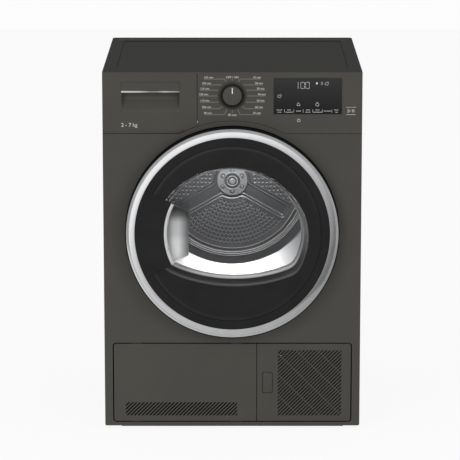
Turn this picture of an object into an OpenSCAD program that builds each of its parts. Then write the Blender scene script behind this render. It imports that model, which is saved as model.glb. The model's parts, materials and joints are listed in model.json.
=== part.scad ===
// Free-standing condenser clothes dryer, built as separate pieces that fit together.
// Millimetres, +Z up. The origin is on the floor, under the middle of the overall box.
// Pieces are drawn with y = 0 at the front plane of the cabinet, +y to the back, and then
// moved by at_front(). The door, knob and pull-out front stand proud of that plane, at y < 0.

/* [Cabinet] */
// Overall width
body_w = 597; // [590:1:620]
// Depth from the front plane to the back edge of the worktop
body_d = 600; // [596:1:640]
// Height of the top of the worktop above the floor
body_h = 846; // [843:1:870]
// Height of the underside of the front panel above the floor
panel_z = 8; // [7:0.5:10]
// Height of the dark base lip above the floor
lip_z = 6; // [5:0.5:6.5]
// Half width of the dark base lip
lip_half_w = 260; // [200:5:285]
// Cabinet sheet metal thickness
sheet_t = 1.2; // [0.8:0.1:1.4]
// Height of the seam under the control fascia and the tank drawer
seam_z = 703; // [701:1:706]
// Gap of the seams between the front pieces
seam_gap = 1; // [0.6:0.1:1.4]
// Depth of the fascia and tank front returns
fascia_d = 18; // [14:1:19]
// Wall of moulded front pieces
mould_t = 2.5; // [2:0.1:3]

/* [Worktop] */
// Worktop thickness behind the fascia
top_t = 14; // [12:1:16]
// Thickness of the lip that covers the fascia
top_lip_t = 2; // [1.5:0.1:2.5]
// Distance of the pressed groove from each side
groove_in = 31; // [20:1:60]
// Distance of the groove's ends from the front
groove_front = 78; // [50:1:150]
// Distance of the groove from the back edge
groove_back = 70; // [40:1:120]
// Groove width
groove_w = 1.4; // [0.8:0.1:3]
// Rear corner radius
top_corner_r = 9; // [4:1:20]

/* [Door] */
// Height of the door centre above the floor
door_z = 473; // [472:1:475]
// Outer radius of the chrome ring
door_r = 246; // [245:0.5:247]
// How far the ring stands proud of the front plane
door_proud = 32; // [31:0.5:34]
// Width of the chrome ring's face
ring_w = 20; // [16:0.5:22]
// Radius of the door opening in the front panel
opening_r = 214; // [212:0.5:215]
// Inner radius of the loading mouth
mouth_r = 196; // [195:0.5:197]
// Radius of the arc seam above the door
seam_arc_r = 260; // [256:0.5:262]
// Half angle of the grip sector
grip_a = 27.3; // [24:0.1:30]
// Radius of the outer edge of the grip strip
grip_r = 158; // [154:0.5:162]
// Depth of the clear bowl behind the surround
bowl_d = 66; // [50:1:70]
// Draft of the clear bowl's walls
bowl_draft = 13; // [8:1:18]
// Wall of the clear bowl
bowl_t = 4; // [3:0.1:5]
// Distance of the door's hinge axis inside the ring's edge
hinge_in = 10; // [9:0.5:11]
// Distance of the door's hinge axis in front of the front plane
hinge_out = 20; // [19:0.5:21]
// Hinge pin radius
hinge_pin_r = 2.5; // [2:0.1:3]

/* [Drum] */
// Height of the drum axis above the floor
drum_z = 494; // [492:1:496]
// Inner radius of the drum
drum_r = 285; // [282:0.5:286]
// Drum wall
drum_t = 1; // [0.8:0.1:1.2]
// Distance of the drum's front edge from the front plane
drum_y0 = 98; // [96:1:102]
// Distance of the drum's back plate from the back edge of the worktop
drum_back = 60; // [59:1:70]
// Inner radius of the drum's front flange
drum_lip_r = 240; // [236:1:246]
// Radius where the back plate meets the polished flare
flare_r = 214; // [208:1:216]
// Length of the polished flare along the axis
flare_d = 70; // [55:1:90]
// Height of the lifters
lifter_h = 44; // [30:1:44]
// Drum shaft radius
shaft_r = 10; // [8:0.5:12]

/* [Fascia] */
// Right edge of the tank drawer front, left of the middle
split_x = 80.5; // [76:0.5:84]
// Height of the knob axis
knob_z = 792; // [788:1:794]
// Radius of the knob's face
knob_r = 22; // [18:0.5:24]
// How far the knob stands proud
knob_proud = 9; // [7:0.5:12]
// Knob spindle radius
spindle_r = 3; // [2.5:0.1:4]
// Display window width
display_w = 156.8; // [140:1:165]
// Display window height
display_h = 83.8; // [76:1:88]
// Display window centre, right of the middle
display_x = 173.2; // [165:1:182]
// Display window centre height
display_z = 790.4; // [786:1:792]

/* [Tank drawer] */
// Width of the tank's grip recess
scoop_w = 133.8; // [110:1:150]
// Recess centre, left of the middle
scoop_x = 187.7; // [180:1:196]
// Top of the recess
scoop_z1 = 797.5; // [794:0.5:799]
// Bottom of the recess
scoop_z0 = 755.3; // [750:0.5:762]
// Depth of the recess
scoop_d = 14; // [10:0.5:15]
// Radius of the chrome strip
strip_r = 3; // [2.6:0.1:3.4]
// Distance of the tank from the back edge of the worktop
tank_back = 120; // [110:5:200]
// Tank wall
tank_t = 2.5; // [2:0.1:3]

/* [Kick area] */
// Distance of the kick opening from each side
kick_side = 18.8; // [17.5:0.1:20.5]
// Bottom of the kick opening
kick_z0 = 16.7; // [16.5:0.1:18]
// Top of the kick opening
kick_z1 = 208.2; // [206:0.1:209]
// Corner radius of the kick opening
kick_r = 8; // [6:0.5:10]
// Gap around the kick panel and the flap
kick_gap = 2.7; // [2.4:0.1:3.2]
// Seam between the kick panel and the flap, right of the middle
kick_split = 57.2; // [54:0.2:60]
// Slot pitch of the grilles, measured along X
slot_pitch = 8.8; // [7:0.2:12]
// Slot width, measured square to the slot
slot_w = 2.9; // [2:0.1:3.5]
// Distance of the flap's hinge axis inside the kick opening
flap_axis_in = 7.7; // [7.2:0.1:8.7]
// Flap hinge axis behind the front plane
flap_axis_y = 5; // [4.6:0.1:5.4]
// Flap pin radius
flap_pin_r = 2; // [1.6:0.1:2.4]

/* [Drive and air] */
// Distance of the motor axis left of the middle
motor_x = 170; // [165:1:175]
// Height of the motor axis
motor_z = 110; // [106:1:112]
// Motor radius
motor_r = 58; // [50:1:62]
// Motor shaft radius
rotor_r = 6; // [5:0.5:7]
// Belt pulley radius
pulley_r = 10; // [9:0.5:14]
// Distance of the belt from the front plane
belt_y = 304; // [300:1:320]
// Belt thickness
belt_t = 1.5; // [1:0.1:2]
// Idler wheel radius
idler_r = 15; // [12:1:18]
// Support roller radius
roller_r = 24; // [20:1:25]
// Angle of the support rollers from the drum's lowest line
roller_a = 35; // [33:1:38]
// Fan wheel radius
fan_r = 66; // [56:1:68]

/* [Feet] */
// Foot pad radius
foot_r = 20; // [16:1:24]
// Foot thread radius
stud_r = 5; // [4:0.5:6]
// Distance of the feet from each side
foot_side = 48.5; // [36.5:0.5:63.5]
// Distance of the front feet behind the front plane
foot_y0 = 60; // [50:1:80]
// Distance of the rear feet in front of the back edge
foot_y1 = 60; // [50:1:80]

/* [Hidden] */

$fn = 96;
eps = 0.01;
run = 0.05;              // radial clearance of a turning fit
fit = 0.2;               // clearance between pieces that are pressed or clipped together
half_w = body_w / 2;
front_y = (door_proud - body_d) / 2;
wall_x = half_w - sheet_t;        // inner face of the side panels
rear_y = body_d - 10;             // outer face of the rear panel
bulk_y = rear_y - 42;             // front face of the rear bulkhead
drum_y1 = body_d - drum_back;     // front face of the drum's back plate
tank_y1 = body_d - tank_back;     // back of the tank
kick_half_w = half_w - kick_side;
flap_axis_x = kick_half_w - flap_axis_in;
foot_x = half_w - foot_side;
top_z = body_h - top_t;           // underside of the worktop
fascia_z1 = body_h - top_lip_t - 0.3;
seam_a = seam_gap / 2;
drum_out = drum_r + drum_t;
front_plate_y = drum_y0 - 12;     // front face of the front bulkhead's plate
plate_t = 4;
tray_t = 3;
tray_z = panel_z;
ring_in = door_r - ring_w;
hinge_x = door_r - hinge_in;
surround_y = 2.5 - door_proud;    // front face of the gloss surround
surround_t = 4;
plug_r = mouth_r - 4;
flange_r = opening_r + 3.5;

// Places pieces drawn from the front plane
module at_front() {
    translate([0, front_y, 0]) children();
}

// Extrudes an X-Z outline from y0 to y1
module xz(y0, y1) {
    translate([0, y1, 0])
        rotate([90, 0, 0])
            linear_extrude(height = y1 - y0) children();
}

// Extrudes a Y-Z outline from x0 to x1
module yz(x0, x1) {
    translate([x0, 0, 0])
        rotate([90, 0, 90])
            linear_extrude(height = x1 - x0) children();
}

// Turns an (r, y) outline about a line along Y at (x, z)
module turned(x, z) {
    translate([x, 0, z])
        rotate([-90, 0, 0])
            rotate_extrude($fn = 144) children();
}

// Cylinder along Y from y0 to y1 at (x, z)
module rod(x, z, r, y0, y1) {
    translate([x, y0, z])
        rotate([-90, 0, 0])
            cylinder(r = r, h = y1 - y0);
}

// Cone along Y: radius r0 at y0 and r1 at y1
module taper(x, z, r0, r1, y0, y1) {
    translate([x, y0, z])
        rotate([-90, 0, 0])
            cylinder(r1 = r0, r2 = r1, h = y1 - y0, $fn = 144);
}

// Box between two corners
module box(a, b) {
    translate(a) cube([b[0] - a[0], b[1] - a[1], b[2] - a[2]]);
}

// Rectangle between two corners
module rect(a, b) {
    translate(a) square([b[0] - a[0], b[1] - a[1]]);
}

// Rectangle with round corners between two corners
module rrect(a, b, r) {
    rect([a[0] + r, a[1]], [b[0] - r, b[1]]);
    rect([a[0], a[1] + r], [b[0], b[1] - r]);
    for (x = [a[0] + r, b[0] - r])
        for (z = [a[1] + r, b[1] - r])
            translate([x, z]) circle(r = r);
}

// Circle at (x, z)
module disc(x, z, r) {
    translate([x, z]) circle(r = r, $fn = 144);
}

// ---------------------------------------------------------------- the D-shaped window

// Three discs whose common part is the window: [x, z, radius] from the door centre
WINDOW = [[-4, -34.5, 190.5], [6, 246.5, 371], [0, 0, 178]];

// Outline of the window, grown by g
module window_outline(g) {
    intersection() {
        disc(WINDOW[0][0], door_z + WINDOW[0][1], WINDOW[0][2] + g);
        disc(WINDOW[1][0], door_z + WINDOW[1][1], WINDOW[1][2] + g);
        disc(WINDOW[2][0], door_z + WINDOW[2][1], WINDOW[2][2] + g);
    }
}

// Tapered window body: grown by g0 at y0 and by g1 at y1
module window_body(y0, y1, g0, g1) {
    intersection() {
        taper(WINDOW[0][0], door_z + WINDOW[0][1], WINDOW[0][2] + g0, WINDOW[0][2] + g1, y0, y1);
        taper(WINDOW[1][0], door_z + WINDOW[1][1], WINDOW[1][2] + g0, WINDOW[1][2] + g1, y0, y1);
        taper(WINDOW[2][0], door_z + WINDOW[2][1], WINDOW[2][2] + g0, WINDOW[2][2] + g1, y0, y1);
    }
}

// Sector left of the door centre, between the two radial lines, out to radius r
module grip_sector(half_a, r) {
    translate([0, door_z])
        intersection() {
            circle(r = r, $fn = 144);
            polygon([[0, 0], [-r / cos(half_a), r * tan(half_a) / cos(half_a)],
                [-r / cos(half_a), -r * tan(half_a) / cos(half_a)]]);
        }
}

// ---------------------------------------------------------------- cabinet

// Plastic base with the condenser duct, the fan scroll, the motor cradle and the foot bosses
duct_w = 210;
duct_x1 = half_w - 26.5;
duct_x0 = duct_x1 - duct_w;
duct_y0 = 20;
duct_y1 = body_d - 170;
duct_z0 = 24;
duct_z1 = 200;
scroll_y0 = 112;
scroll_y1 = 178;
scroll_w = fan_r + 20;   // half width of the fan scroll
motor_y0 = 190;
motor_y1 = 290;
cradle_t = 10;           // thickness of a motor cradle rib
cradle_in = 14;          // distance of a rib from the end of the motor
cradle_w = 50;           // half width of a rib
boss_h = duct_z0 - tray_z;
module base_tray() {
    x = wall_x - 0.5;
    color([0.16, 0.16, 0.16])
        at_front()
            difference() {
                union() {
                    // floor and low walls
                    difference() {
                        box([-x, 3, tray_z], [x, rear_y - 4, 48]);
                        box([-x + tray_t, 3 + tray_t, tray_z + tray_t],
                            [x - tray_t, rear_y - 4 - tray_t, 49]);
                        box([-x - 1, 2, kick_z0 - sheet_t - 1.5], [x + 1, 3 + tray_t + eps, 49]);
                    }
                    // lip under the front panel
                    box([-lip_half_w, 3, lip_z], [lip_half_w, 9, tray_z + 1]);
                    // condenser duct
                    box([duct_x0, duct_y0, tray_z + 1], [duct_x1, duct_y1, duct_z1]);
                    // motor cradle
                    for (y = [motor_y0 + cradle_in, motor_y1 - cradle_in - cradle_t])
                        box([-motor_x - cradle_w, y, tray_z + 1],
                            [-motor_x + cradle_w, y + cradle_t, motor_z - 10]);
                    // fan scroll
                    box([-motor_x - scroll_w, scroll_y0, tray_z + 1],
                        [-motor_x + scroll_w, scroll_y1, motor_z + scroll_w - 2]);
                    // idler post
                    box([idler_px - 8, belt_y + 10, tray_z + 1],
                        [idler_px + 8, belt_y + 18, idler_pz + 8]);
                    rod(idler_px, idler_pz, 3, belt_y + 1, belt_y + 11);
                    // foot bosses
                    for (p = FEET)
                        translate([p[0], p[1], tray_z]) cylinder(r = stud_r + 6, h = boss_h);
                }
                // inside of the condenser duct and the space under its floor
                box([duct_x0 + tray_t, duct_y0 - 1, duct_z0 + tray_t],
                    [duct_x1 - tray_t, duct_y1 + 1, duct_z1 - tray_t]);
                difference() {
                    box([duct_x0 + tray_t, duct_y0 - 1, tray_z + tray_t],
                        [duct_x1 - tray_t, duct_y1 + 1, duct_z0]);
                    for (p = FEET)
                        translate([p[0], p[1], tray_z]) cylinder(r = stud_r + 6, h = boss_h);
                }
                // motor seat
                rod(-motor_x, motor_z, motor_r + fit, motor_y0, motor_y1);
                // fan chamber, its inlet and the shaft hole
                rod(-motor_x, motor_z, fan_r + 8, scroll_y0 + tray_t, scroll_y1 - tray_t);
                rod(-motor_x, motor_z, fan_r - 20, scroll_y0 - 1, scroll_y0 + tray_t + 1);
                rod(-motor_x, motor_z, rotor_r + 8, scroll_y1 - tray_t - 1, scroll_y1 + 1);
                // foot threads
                for (p = FEET)
                    translate([p[0], p[1], tray_z - 1])
                        cylinder(r = stud_r + run, h = boss_h - 1);
            }
}

FEET = [[-foot_x, foot_y0], [foot_x, foot_y0], [-foot_x, body_d - foot_y1],
    [foot_x, body_d - foot_y1]];

// Levelling foot: pad, hexagon and threaded stud
module foot(n) {
    color([0.1, 0.1, 0.1])
        at_front()
            translate([FEET[n][0], FEET[n][1], 0]) {
                cylinder(r = foot_r, h = lip_z - 2);
                cylinder(r = 11, h = tray_z - 0.3, $fn = 6);
                cylinder(r = stud_r, h = tray_z + boss_h - 4);
            }
}

// Outline of a side panel in Y-Z: set back above the seam for the fascia's returns
module side_outline(inset) {
    polygon([[sheet_t + fit + inset, panel_z + panel_r + 1 + inset],
        [sheet_t + fit + panel_r + 1 + inset, panel_z + inset],
        [rear_y - inset, panel_z + inset],
        [rear_y - inset, top_z - 0.2 - inset],
        [fascia_d + 1 + inset, top_z - 0.2 - inset],
        [fascia_d + 1 + inset, seam_z - seam_a - inset],
        [sheet_t + fit + inset, seam_z - seam_a - inset]]);
}

emboss_d = 3;            // depth of the pressed field in the side panels
emboss_in = 14;          // its distance from the two bulkheads
flange_w = 14;           // folded edges of the side panels

// Side panel with a pressed field and folded edges; drawn for the left side
module side_panel() {
    field_a = [drum_y0 + emboss_in, 90];
    field_b = [bulk_y - emboss_in, seam_z - 60];
    color([0.29, 0.285, 0.265])
        at_front() {
            difference() {
                union() {
                    yz(-half_w, -wall_x) side_outline(0);
                    yz(-wall_x - eps, -wall_x + emboss_d)
                        rrect(field_a, field_b, 40);
                }
                yz(-half_w - 1, -wall_x + emboss_d - sheet_t)
                    rrect([field_a[0] + sheet_t, field_a[1] + sheet_t],
                        [field_b[0] - sheet_t, field_b[1] - sheet_t], 40 - sheet_t);
            }
            // front, rear and top folds
            box([-wall_x - eps, sheet_t + fit, kick_z1 + 20],
                [-wall_x + flange_w, 2 * sheet_t + fit, seam_z - seam_a]);
            box([-wall_x - eps, rear_y - 2 * sheet_t - fit, 60],
                [-wall_x + flange_w, rear_y - sheet_t - fit, top_z - 20]);
            box([-wall_x - eps, fascia_d + 40, top_z - 0.2 - sheet_t],
                [-wall_x + flange_w, rear_y - 20, top_z - 0.2]);
        }
}

module left_side_panel() {
    side_panel();
}

module right_side_panel() {
    mirror([1, 0, 0]) side_panel();
}

// Rear sheet with cooling slots, a pressed field and a cable hole
gland_x = half_w - 73.5;
gland_z = 72;
vent_x0 = 118;           // first cooling slot from the middle
vent_pitch = 15;
vent_z0 = 650;
vent_z1 = 730;
vent_r = 3;

// Upright slot with round ends
module vent_slot(x, z0, z1) {
    rect([x - vent_r, z0], [x + vent_r, z1]);
    for (z = [z0, z1])
        translate([x, z]) circle(r = vent_r);
}
module rear_panel() {
    x = wall_x - fit;
    y0 = rear_y - sheet_t;
    color([0.62, 0.63, 0.64])
        at_front() {
            difference() {
                xz(y0, rear_y)
                    difference() {
                        rect([-x, panel_z + 42], [x, top_z - 0.4]);
                        for (s = [-1, 1])
                            for (i = [0:9])
                                vent_slot(s * (vent_x0 + vent_pitch * i), vent_z0, vent_z1);
                        disc(gland_x, gland_z, 12 + fit);
                    }
                // ring pressed inwards around the heater
                turned(0, drum_z)
                    polygon([[206, rear_y - 0.5], [214, rear_y - 0.5], [214, rear_y + 1],
                        [206, rear_y + 1]]);
            }
        }
}

// Inner rear sheet that carries the drum bearing, with hot-air holes
module rear_bulkhead() {
    x = wall_x - 0.6;
    color([0.66, 0.67, 0.68])
        at_front()
            xz(bulk_y, bulk_y + sheet_t)
                difference() {
                    rect([-x, 90], [x, top_z - 32]);
                    disc(0, drum_z, shaft_r + 6);
                    for (i = [0:5])
                        disc(130 * cos(30 + 60 * i), drum_z + 130 * sin(30 + 60 * i), 32);
                    disc(-hose_x, hose_z1, hose_r + 2);
                    rect([chimney_x0 + 20, 91], [chimney_x1 - 20, 150]);
                }
}

duct_back_y = rear_y - sheet_t - 2;
heater_r = 200;          // radius of the heater duct round the drum axis
chimney_x1 = half_w - 58.5;       // the duct's channel up from the base
chimney_x0 = chimney_x1 - 170;
module heater_outline(g) {
    disc(0, drum_z, heater_r + g);
    rect([chimney_x0 - g, 100 - g], [chimney_x1 + g, drum_z]);
}

// Galvanised hot-air duct behind the bulkhead
module heater_duct() {
    y0 = bulk_y + sheet_t + 0.1;
    color([0.7, 0.71, 0.72])
        at_front()
            difference() {
                xz(y0, duct_back_y) heater_outline(0);
                xz(y0 - 1, duct_back_y - 1.5) heater_outline(-1.5);
            }
}

// Heating ring on three ceramic posts
module heater_element() {
    y0 = bulk_y + sheet_t + 0.1;
    color([0.45, 0.4, 0.36])
        at_front() {
            turned(0, drum_z) translate([122, y0 + 16]) circle(r = 4, $fn = 32);
            for (i = [0:2])
                rod(122 * cos(120 * i), drum_z + 122 * sin(120 * i), 5, y0, y0 + 17);
        }
}

// Bearing housing for the drum shaft
module rear_bearing() {
    y0 = bulk_y + sheet_t + 0.05;
    color([0.3, 0.31, 0.33])
        at_front()
            turned(0, drum_z)
                polygon([[shaft_r + run, y0], [36, y0], [36, y0 + 3], [22, y0 + 5],
                    [22, y0 + 26], [shaft_r + run, y0 + 26]]);
}

// Worktop: thick board with a thin lip over the fascia and a pressed U-shaped groove
module worktop_outline() {
    r = top_corner_r;
    rrect([-half_w, 40], [half_w, body_d], r);
    rrect([-half_w, 0.3], [half_w, 100], 2.5);
}
module worktop() {
    color([0.235, 0.235, 0.215])
        at_front()
            difference() {
                translate([0, 0, top_z]) linear_extrude(height = top_t) worktop_outline();
                box([-half_w - 1, -1, top_z - 1], [half_w + 1, fascia_d + 1, body_h - top_lip_t]);
                translate([0, 0, body_h - 0.7])
                    linear_extrude(height = 1)
                        intersection() {
                            difference() {
                                rrect([-half_w + groove_in - groove_w / 2, 0],
                                    [half_w - groove_in + groove_w / 2,
                                    body_d - groove_back + groove_w / 2], 12);
                                rrect([-half_w + groove_in + groove_w / 2, -20],
                                    [half_w - groove_in - groove_w / 2,
                                    body_d - groove_back - groove_w / 2], 12 - groove_w);
                            }
                            rect([-half_w, groove_front], [half_w, body_d]);
                        }
            }
}

keeper_x = -229;         // middle of the latch slot
keeper_h = 14;           // half height of the latch slot

panel_r = 4;             // radius of the front panel's bottom corners

// Painted front sheet with the door opening, the kick opening and the latch slot
module front_panel() {
    z1 = seam_z - seam_a;
    color([0.29, 0.285, 0.265])
        at_front()
            difference() {
                union() {
                    xz(0, sheet_t)
                        difference() {
                            union() {
                                rrect([-half_w, panel_z], [half_w, kick_z1], panel_r);
                                rect([-half_w, kick_z0], [half_w, z1]);
                                intersection() {
                                    disc(0, door_z, seam_arc_r - seam_a);
                                    rect([-half_w, z1 - 1], [half_w, z1 + 60]);
                                }
                            }
                            disc(0, door_z, opening_r);
                            rrect([-kick_half_w, kick_z0], [kick_half_w, kick_z1], kick_r);
                            rect([keeper_x - 6.5, door_z - keeper_h],
                                [keeper_x + 6.5, door_z + keeper_h]);
                        }
                    // folded rim of the kick opening
                    xz(sheet_t - eps, sheet_t + 8)
                        difference() {
                            rrect([-kick_half_w - sheet_t, kick_z0 - sheet_t],
                                [kick_half_w + sheet_t, kick_z1 + sheet_t], kick_r + sheet_t);
                            rrect([-kick_half_w, kick_z0], [kick_half_w, kick_z1], kick_r);
                        }
                }
                // holes for the flap's pins
                translate([flap_axis_x, flap_axis_y, kick_z0 - 3])
                    cylinder(r = flap_pin_r + run, h = kick_z1 - kick_z0 + 6);
            }
}

filter_w = 184;          // width of the lint filter
filter_y0 = 60;
filter_y1 = 78;
filter_z0 = 214;
pocket_g = 1.5;          // room round the filter in its pocket
roller_x = (drum_out + 0.3 + roller_r) * sin(roller_a);
roller_z = drum_z - (drum_out + 0.3 + roller_r) * cos(roller_a);

// Moulded front bulkhead: mouth, plate behind the door, filter pocket and roller pins
module front_bulkhead() {
    x = wall_x - 0.5;
    y0 = sheet_t + 0.1;
    pw = filter_w / 2 + pocket_g;
    color([0.55, 0.56, 0.57])
        at_front() {
            difference() {
                union() {
                    turned(0, door_z)
                        polygon([[mouth_r, y0 + 4], [mouth_r + 4, y0], [flange_r, y0],
                            [flange_r, y0 + 2.5], [mouth_r + 4, y0 + 2.5],
                            [mouth_r + 4, front_plate_y + plate_t],
                            [mouth_r, front_plate_y + plate_t]]);
                    xz(front_plate_y, front_plate_y + plate_t)
                        difference() {
                            rect([-x, duct_z1 + 4], [x, seam_z - 4]);
                            disc(0, door_z, mouth_r + 2);
                        }
                    difference() {
                        box([-pw - 2, filter_y0 - pocket_g - 2, filter_z0 - pocket_g - 2],
                            [pw + 2, filter_y1 + pocket_g + 2, door_z - mouth_r + 40]);
                        rod(0, door_z, mouth_r + 2, 0, drum_y0);
                    }
                }
                box([-pw, filter_y0 - pocket_g, filter_z0 - 0.3],
                    [pw, filter_y1 + pocket_g, door_z]);
            }
            for (s = [-1, 1])
                rod(s * roller_x, roller_z, 4, front_plate_y + plate_t - eps, drum_y0 + 21);
        }
}

// Felt ring between the bulkhead and the drum's front flange
module front_felt_seal() {
    y0 = front_plate_y + plate_t;
    color([0.75, 0.73, 0.68])
        at_front()
            turned(0, drum_z)
                polygon([[drum_lip_r + 4, y0], [drum_lip_r + 22, y0],
                    [drum_lip_r + 22, drum_y0 - 0.3], [drum_lip_r + 4, drum_y0 - 0.3]]);
}

// Lint filter: a frame with two screened faces, its top shaped to the mouth
module lint_filter() {
    w = filter_w / 2;
    color([0.2, 0.2, 0.2])
        at_front()
            difference() {
                box([-w, filter_y0, filter_z0], [w, filter_y1, door_z - mouth_r + 40]);
                rod(0, door_z, mouth_r + 0.4, 0, drum_y0);
                for (i = [0:3]) {
                    x0 = -w + 8 + i * (filter_w - 8) / 4;
                    box([x0, filter_y0 - 1, filter_z0 + 8], [x0 + (filter_w - 40) / 4, filter_y0 + 3,
                        door_z - mouth_r - 12]);
                    box([x0, filter_y1 - 3, filter_z0 + 8], [x0 + (filter_w - 40) / 4, filter_y1 + 1,
                        door_z - mouth_r - 12]);
                }
            }
}

// ---------------------------------------------------------------- fascia and knob

// Outline of the fascia: right upper panel with the arc of the door cut out
module fascia_outline(g) {
    difference() {
        rect([-split_x + seam_a + g, seam_z + seam_a + g], [half_w - g, fascia_z1 - g]);
        disc(0, door_z, seam_arc_r + seam_a + g);
    }
}

module control_fascia() {
    dx = display_w / 2 + fit;
    dz = display_h / 2 + fit;
    color([0.3, 0.295, 0.27])
        at_front()
            difference() {
                xz(0, fascia_d) fascia_outline(0);
                xz(mould_t, fascia_d + 1) fascia_outline(mould_t);
                xz(-1, fascia_d)
                    rrect([display_x - dx, display_z - dz], [display_x + dx, display_z + dz], 1);
                rod(0, knob_z, spindle_r + 2, -1, fascia_d);
            }
}

// Smoked display window, flush with the fascia
module display_window() {
    dx = display_w / 2;
    dz = display_h / 2;
    color([0.13, 0.13, 0.135])
        at_front()
            xz(0, mould_t)
                rrect([display_x - dx, display_z - dz], [display_x + dx, display_z + dz], 1);
}

// Control board with the display module, the knob's encoder and two relays
module control_board() {
    y1 = fascia_d + 3;
    color([0.1, 0.3, 0.2])
        at_front()
            difference() {
                union() {
                    box([-40, y1, display_z - 48], [half_w - 12, y1 + 2, top_z - 3]);
                    box([display_x - display_w / 2 + 4, mould_t + 0.3, display_z - 36],
                        [display_x + display_w / 2 - 4, y1 + eps, display_z + 36]);
                    box([-12, mould_t + 0.3, knob_z - 12], [12, y1 + eps, knob_z + 12]);
                    for (x = [60, 220])
                        box([x, y1 + 2 - eps, display_z - 20], [x + 28, y1 + 20, display_z + 10]);
                }
                rod(0, knob_z, spindle_r + run, 0, y1 - 4);
            }
}

// Programme knob: face, tapered skirt and spindle
module knob_cap() {
    p = -knob_proud;
    color([0.29, 0.285, 0.265])
        at_front()
            turned(0, knob_z)
                polygon([[0, p], [knob_r - 1, p], [knob_r, p + 0.8], [knob_r + 3.4, -0.6],
                    [spindle_r, -0.6], [spindle_r, fascia_d - 4], [0, fascia_d - 4]]);
}

// White pointer set on the knob's face
module knob_pointer() {
    color([0.95, 0.95, 0.95])
        at_front()
            xz(-knob_proud - 0.4, -knob_proud)
                rrect([-1.35, knob_z + 5], [1.35, knob_z + 18.6], 0.6);
}

// ---------------------------------------------------------------- tank drawer

// Outline of the tank drawer's front
module tank_outline(g) {
    difference() {
        rect([-half_w + g, seam_z + seam_a + g], [-split_x - seam_a - g, fascia_z1 - g]);
        disc(0, door_z, seam_arc_r + seam_a + g);
    }
}

// Drawer front with the scooped grip recess
module tank_front() {
    x0 = -scoop_x - scoop_w / 2;
    x1 = -scoop_x + scoop_w / 2;
    z1 = scoop_z1 + 2 * strip_r;
    color([0.29, 0.285, 0.265])
        at_front()
            difference() {
                union() {
                    difference() {
                        xz(0, fascia_d) tank_outline(0);
                        xz(mould_t, fascia_d + 1) tank_outline(mould_t);
                    }
                    // back of the recess
                    yz(x0 - 2, x1 + 2)
                        polygon([[mould_t - eps, scoop_z0 - 4], [mould_t - eps, z1 + 4],
                            [scoop_d + 2, z1 + 4], [scoop_d + 2, scoop_z0 + 26]]);
                }
                // the recess ramps from deep under the strip to flush at its bottom
                yz(x0, x1)
                    polygon([[-1, scoop_z0 - 1.4], [-1, scoop_z1], [scoop_d, scoop_z1],
                        [scoop_d, scoop_z0 + 28], [0, scoop_z0]]);
                // seat of the chrome strip
                yz(x0, x1)
                    translate([strip_r - 2, scoop_z1 + strip_r]) circle(r = strip_r + 0.02);
                yz(x0, x1)
                    rect([-3, scoop_z1], [strip_r - 2, scoop_z1 + 2 * strip_r + 0.02]);
            }
}

// Half-round chrome strip over the recess
module tank_handle_strip() {
    x0 = -scoop_x - scoop_w / 2 + 0.1;
    x1 = -scoop_x + scoop_w / 2 - 0.1;
    color([0.85, 0.86, 0.87])
        at_front()
            yz(x0, x1)
                translate([strip_r - 2, scoop_z1 + strip_r]) circle(r = strip_r);
}

tank_x0 = half_w - 7;
tank_x1 = 95;
tank_z0 = seam_z + 22;
tank_z1 = top_z - 8;
tank_arc = drum_out + 14.5;

// Cross-section of the tank, grown by g and cut by the drum's room
module tank_section(g) {
    difference() {
        rect([-tank_x0 - g, tank_z0 - g], [-tank_x1 + g, tank_z1 + g]);
        disc(0, drum_z, tank_arc - g);
    }
}

// Water container with a filling hole in its top
module tank_container() {
    y0 = fascia_d + 0.2;
    color([0.85, 0.87, 0.88])
        at_front()
            difference() {
                xz(y0, tank_y1) tank_section(0);
                xz(y0 + tank_t, tank_y1 - tank_t) tank_section(-tank_t);
                box([-tank_x0 + 20, tank_y1 - 60, tank_z1 - 10],
                    [-tank_x0 + 60, tank_y1 - 20, tank_z1 + 1]);
            }
}

// Tray that guides the tank and catches drips
module tank_guide() {
    color([0.2, 0.2, 0.2])
        at_front()
            difference() {
                xz(fascia_d + 44, tank_y1 + 20)
                    difference() {
                        rect([-wall_x + 0.5, tank_z0 - 5], [-tank_x1 + 3.5, tank_z1 + 4]);
                        disc(0, drum_z, tank_arc - 4.5);
                    }
                xz(fascia_d + 43, tank_y1 + 0.5) tank_section(0.5);
                xz(fascia_d + 43, tank_y1 + 0.5)
                    rect([-tank_x0 - 0.5, tank_z1 - 2], [-tank_x1 + 0.5, tank_z1 + 5]);
            }
}

// ---------------------------------------------------------------- base machinery

// Condenser cartridge: a block of thin fins with a face frame and two lever studs
cond_g = 3;
module condenser() {
    x0 = duct_x0 + tray_t + cond_g;
    x1 = duct_x1 - tray_t - cond_g;
    z0 = duct_z0 + tray_t + cond_g;
    z1 = duct_z1 - tray_t - cond_g;
    n = 24;
    pitch = (x1 - x0 - 12) / n;
    color([0.78, 0.79, 0.8])
        at_front() {
            xz(duct_y0 + 2, duct_y1 - 30)
                difference() {
                    rect([x0, z0], [x1, z1]);
                    for (i = [0:n - 1])
                        rect([x0 + 6 + i * pitch, z0 + 6],
                            [x0 + 6 + (i + 1) * pitch - 1, z1 - 6]);
                }
            for (s = [0, 1])
                rod(lever_x(s), lever_z, 3, duct_y0 - 7, duct_y0 + 3);
            for (s = [0, 1])
                box([lever_x(s) - 10, duct_y0 + 2, z0 + 1], [lever_x(s) + 10, duct_y0 + 6, z1 - 1]);
            // feet that rest on the duct's floor
            for (x = [x0 + 20, x1 - 30])
                box([x, duct_y0 + 10, z0 - cond_g], [x + 10, duct_y1 - 40, z0 + eps]);
        }
}

lever_in = 24;           // distance of a lever's pivot from the duct's side
function lever_x(s) = s == 0 ? duct_x0 + lever_in : duct_x1 - lever_in;
lever_z = (duct_z0 + duct_z1) / 2;

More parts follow.
